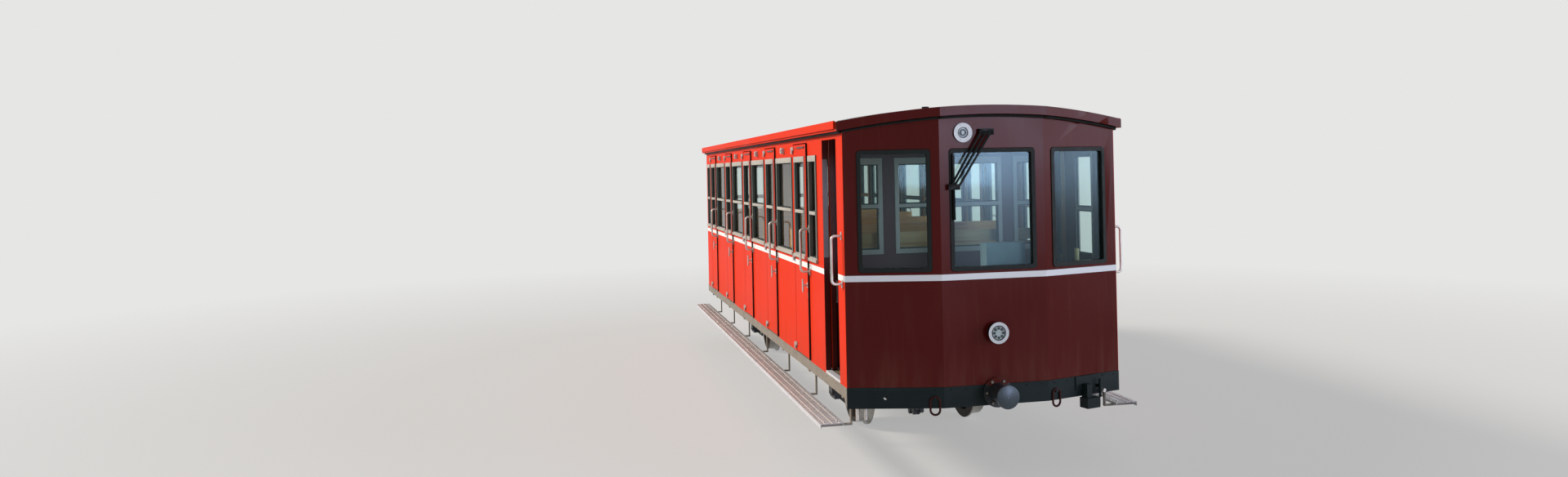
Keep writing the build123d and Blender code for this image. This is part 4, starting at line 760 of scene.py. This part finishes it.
def door_screws(work, side, centre):
    """Screws in one door's hinge straps, and the keyhole plate under its handle."""
    for level in hinge_levels:
        for back in (18, 32):
            place = (side * (side_x + 14 * MM), centre + (266 - back) * MM, rail_top_z + level * MM)
            rivet(work, facing(place, (side, 0, 0)), 4)
    place = facing((side * side_x, centre - 216 * MM, rail_top_z + 1.225), (side, 0, 0))
    block(work, (26, 46, 3), place)
    turned(work, ((0, 2.5), (6, 2.5), (6, 4.5), (3, 4.5), (3, 3), (0, 3)), place, 16)


def vents(work, profile_mm):
    """One turned part of the round vent caps over the wide windows, on each cap's own plane."""
    for side in sides.values():
        for start in bay_starts[1:]:
            place = (side * (side_x + 14 * MM), start, rail_top_z + 2.472)
            turned(work, profile_mm, facing(place, (side, 0, 0)), 24)


def window_plates(work, name):
    """Light head plates and middle bars over the stiles of the side walls' and doors' windows."""
    face_x = side_x + 9 * MM
    for low, high in panes_of(name):
        if min(abs(low.x), abs(high.x)) < side_x - 100 * MM:
            continue
        side = 1 if low.x > 0 else -1
        y, half = (low.y + high.y) / 2, (high.y - low.y) / 2
        if high.z > window_top_z - 0.1:
            place = facing((side * face_x, y, (high.z + window_top_z) / 2), (side, 0, 0))
            block(work, (2000 * (half + 33 * MM), 49, 2), place, 0.8)
        else:
            place = facing((side * face_x, y, high.z + 15 * MM), (side, 0, 0))
            block(work, (2000 * half, 28, 3), place, 0.8)


def band_shadow_strips(work):
    """Black strips under the roof band, along both sides and across the nose's panels: dark sheets
    put as painted shadow where the band's shade falls.
    """
    axis_z = roof_crown_z - roof_radius
    low = axis_z + (band_radius**2 - side_x**2) ** 0.5 - 14 * MM
    for side in sides.values():
        place = facing((side * (side_x + 2 * MM), (corner_y + rear_y) / 2, low), (side, 0, 0))
        block(work, (1000 * (rear_y - corner_y), 24, 24), place, 3)
    panel = hypot(half_face - side_x, nose_y - corner_y)
    profile = ((0, 0), (0, 30), (-9, 34), (-16, 30), (-16, 0))
    for side, start, end in ((0, -half_face, half_face), (-1, 0, panel), (1, 0, panel)):
        rows = []
        for step in range(13):
            frame_here = nose_place(side, start + (end - start) * step / 12, 0)
            x = frame_here.translation.x
            top = axis_z + (band_radius**2 - x**2) ** 0.5 - 3 * MM
            rows.append([work.verts.new(frame_here @ Vector((0, top + up * MM, out * MM)))
                         for up, out in profile])
        for row, after in zip(rows, rows[1:]):
            for number in range(4):
                work.faces.new((row[number], row[number + 1], after[number + 1], after[number]))


def closing_edge(side, y):
    """A place on the wall's face at half a door's height, and the height of a strip there in mm."""
    place = facing((side * (side_x + 0.4 * MM), y, (wall_low_z + door_top_z) / 2), (side, 0, 0))
    return place, (door_top_z - wall_low_z) / MM - 22


def door_strips(work, side, centre):
    """The cover strip on a door's closing edge, over the gap."""
    place, height = closing_edge(side, centre - half_opening + 4 * MM)
    block(work, (14, height, 15), place, 2)


def door_lips(work, side, centre):
    """The rubber lip in front of a door's cover strip."""
    place, height = closing_edge(side, centre - half_opening - 5 * MM)
    block(work, (5, height, 16), place, 1.5)


def ceiling_lamps(work):
    """Round opal lamps under the roof, one to a compartment and one over the platform."""
    for y in [corner_y + 0.36, *door_centres]:
        place = facing((0, y, roof_crown_z - 45 * MM), (0, 0, -1), (0, 1, 0))
        turned(work, ((0, 0), (95, 0), (95, 10), (86, 22), (60, 34), (0, 40)), place, 32)


def desk_fittings(work):
    """Dials on the console, and push buttons along the desk."""
    face_y = desk_y + 180 * MM
    for x, z, radius in ((0.05, 1.63, 38), (0.15, 1.63, 38), (0.24, 1.64, 26)):
        profile = ((0, 0), (radius, 0), (radius, 9), (radius - 5, 9), (radius - 5, 3), (0, 3))
        turned(work, profile, facing((x, face_y, z), (0, 1, 0)), 32)
    slope = Vector((0, 60, 260)).normalized()
    for number in range(6):
        x = (number * 50 - 300) * MM
        place = facing((x, desk_y + 170 * MM, floor_z + 760.8 * MM), slope, (0, 1, 0))
        turned(work, ((0, 0), (13, 0), (13, 3), (9, 5), (9, 9), (0, 10)), place, 20)


def thickened(work, name, out_mm):
    """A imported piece's own shape, in place, a little thicker all round."""
    work.from_mesh(nodes[name].data)
    bmesh.ops.remove_doubles(work, verts=work.verts, dist=0.05 * MM)
    work.normal_update()
    moves = [(vert, vert.normal * out_mm * MM) for vert in work.verts]
    for vert, move in moves:
        vert.co += move


def gear_bolts(work):
    """Bolts on the covers of the axle boxes."""
    for side in sides.values():
        for y in axle_ys:
            for number in range(4):
                a = pi / 4 + number * pi / 2
                along, up = 44 * MM * cos(a), 44 * MM * sin(a)
                place = (side * box["axle_boxes"][1].x, y + along, axle_z + up)
                bolt(work, facing(place, (side, 0, 0)), 7)


put("door_stops", door_stops, seal_rubber)
put("jamb_strips", jamb_strips, jamb_grey_painted_shade)
put("lock_plates", lock_plates, zinc_screw)
put("lamp_screws", lamp_screws, zinc_screw)
put("lamp_gaskets", lamp_gaskets, lamp_black)
put("board_treads", board_treads, tread_zinc, smooth=False)
put("sole_rivets", sole_rivets, sole_paint)
put("board_bolts", board_bolts, zinc_screw)
put("skirt_bolts", skirt_bolts, chassis_paint)
put("roof_ribs", roof_ribs, roof_paint)
put("rail_screws", rail_screws, zinc_screw)
for name, side in sides.items():
    for number, centre in enumerate(door_centres, start=1):
        door = f"door_{name}_{number}"
        for piece, build, material, slot in (
            ("screws", door_screws, zinc_screw, "rail_steel"),
            ("strip", door_strips, coach_red, "coach_red"),
            ("lip", door_lips, seal_rubber, "seal_rubber"),
        ):
            put(f"{door}_{piece}", partial(build, side=side, centre=centre), material,
                f"side_{door}")
        put(f"{door}_plates", partial(window_plates, name=f"{door}_glass"), frame_paint,
            f"side_{door}")
put("window_plates", partial(window_plates, name="window_glass"), frame_paint)
# Black strips under the roof band as painted shadow.
put("band_shadow_strips", band_shadow_strips, seal_rubber)
vent_ring = ((15, -1), (25, -1), (27, 3), (27, 16), (24, 20), (17, 20), (15, 17), (15, -1))
vent_button = ((0, -1), (15, -1), (15, 12), (11, 18), (0, 20))
put("vent_rings", partial(vents, profile_mm=vent_ring), lamp_white)
put("vent_buttons", partial(vents, profile_mm=vent_button), lamp_black)
put("ceiling_lamps", ceiling_lamps, lamp_white)
put("desk_fittings", desk_fittings, lamp_black)
put("gear_bolts", gear_bolts, iron)
# The thicker hoops take the same red darkened as painted shade.
thick_hoops = put("thick_towing_hoops", partial(thickened, name="towing_hoops", out_mm=2),
                  hoop_shade_and_wear_paint)
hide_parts("towing_hoops")
thick_wiper = put("thick_wiper", partial(thickened, name="wiper", out_mm=4.5), wiper_black)
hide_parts("wiper")


# Stage: floor, pale surroundings, soft lamps and the camera

def seen_by_eye(tree):
    """One for the rays that the eye follows, straight, in a mirror or through glass, and none for
    the rays that light the coach."""
    camera = add_node(tree, "LightPath", output="Is Camera Ray")
    mirror = add_node(tree, "LightPath", output="Is Glossy Ray")
    glass = add_node(tree, "LightPath", output="Is Transmission Ray")
    either = add_node(tree, "Math", {"operation": "MAXIMUM"}, {0: camera, 1: mirror})
    return add_node(tree, "Math", {"operation": "MAXIMUM"}, {0: either, 1: glass})


def make_stage():
    """A wide pale floor at the flange tips, which takes on the background's colour with distance,
    and an even pale world."""
    plain = {"Color": linear("#E6E6E5"), "Strength": 1.0}
    values = {"Base Color": linear("#BFBFBD"), "Roughness": 0.9, "Specular IOR Level": 0.1}
    made, tree, shader, point = new_material("studio_floor_paint", values)
    away = add_node(tree, "VectorMath", {"operation": "LENGTH"}, {0: point}, "Value")
    near_edge, far_edge, near_share = 5, 15, 0.5
    far = add_node(tree, "MapRange", {"From Min": near_edge, "From Max": far_edge,
                                      "To Min": near_share}, {"Value": away})
    share = add_node(tree, "Math", {"operation": "MULTIPLY"}, {0: seen_by_eye(tree), 1: far})
    glow = add_node(tree, "Emission", plain)
    surface = add_node(tree, "MixShader", (), {0: share, 1: shader.outputs[0], 2: glow})
    tree.links.new(surface, tree.nodes["Material Output"].inputs["Surface"])
    reach = 120
    mesh = bpy.data.meshes.new("studio_floor")
    corners = [(-reach, -reach, 0), (reach, -reach, 0), (reach, reach, 0), (-reach, reach, 0)]
    mesh.from_pydata(corners, [], [(0, 1, 2, 3)])
    mesh.materials.append(made)
    ground = bpy.data.objects.new("studio_floor", mesh)
    bpy.context.scene.collection.objects.link(ground)
    world = bpy.data.worlds.new("studio_world")
    world.use_nodes = True
    bpy.context.scene.world = world
    tree = world.node_tree
    tree.nodes["Background"].inputs["Color"].default_value = linear("#E6ECF2")
    tree.nodes["Background"].inputs["Strength"].default_value = 0.26
    backdrop = add_node(tree, "Background", plain)
    lighting = tree.nodes["Background"].outputs[0]
    surface = add_node(tree, "MixShader", (), {0: seen_by_eye(tree), 1: lighting, 2: backdrop})
    tree.links.new(surface, tree.nodes["World Output"].inputs["Surface"])


def soft_lamp(name, way, power, spread, colour):
    """A broad distant lamp that shines along a direction, soft by its spread in degrees."""
    lamp = bpy.data.lights.new(name, "SUN")
    lamp.energy = power
    lamp.angle = radians(spread)
    lamp.color = linear(colour)[:3]
    made = bpy.data.objects.new(name, lamp)
    made.rotation_euler = Vector(way).to_track_quat("-Z", "Y").to_euler()
    bpy.context.scene.collection.objects.link(made)


def make_camera():
    """The photograph's own place and lens, fitted to the coach's edges."""
    data = bpy.data.cameras.new("photo_camera")
    data.sensor_width = 36
    data.lens = 23.44
    data.shift_y = -0.0481
    made = bpy.data.objects.new("photo_camera", data)
    pan, tilt, roll = -0.211, 0.009, 0.0201
    turn = (Matrix.Rotation(pan, 4, "Z") @ Matrix.Rotation(tilt, 4, "X")
            @ Matrix.Rotation(roll, 4, "Y"))
    place = Vector((-3.098, corner_y - 7.276, rail_top_z + 2.273))
    made.matrix_world = Matrix.Translation(place) @ turn @ Matrix.Rotation(pi / 2, 4, "X")
    bpy.context.scene.collection.objects.link(made)
    bpy.context.scene.camera = made


make_stage()
soft_lamp("key_left", (9, -4, -6), 4.0, 14, "#FFF3E6")
soft_lamp("fill_front", (-0.911, 0.387, -0.139), 1.6, 30, "#DCE4FA")
soft_lamp("low_front", (-0.407, 0.913, -0.035), 1.1, 18, "#D8E0FC")
soft_lamp("fill_back", (-6, -8, -7), 0.3, 40, "#FFFFFF")
make_camera()
bpy.context.scene.view_settings.view_transform = "Standard"
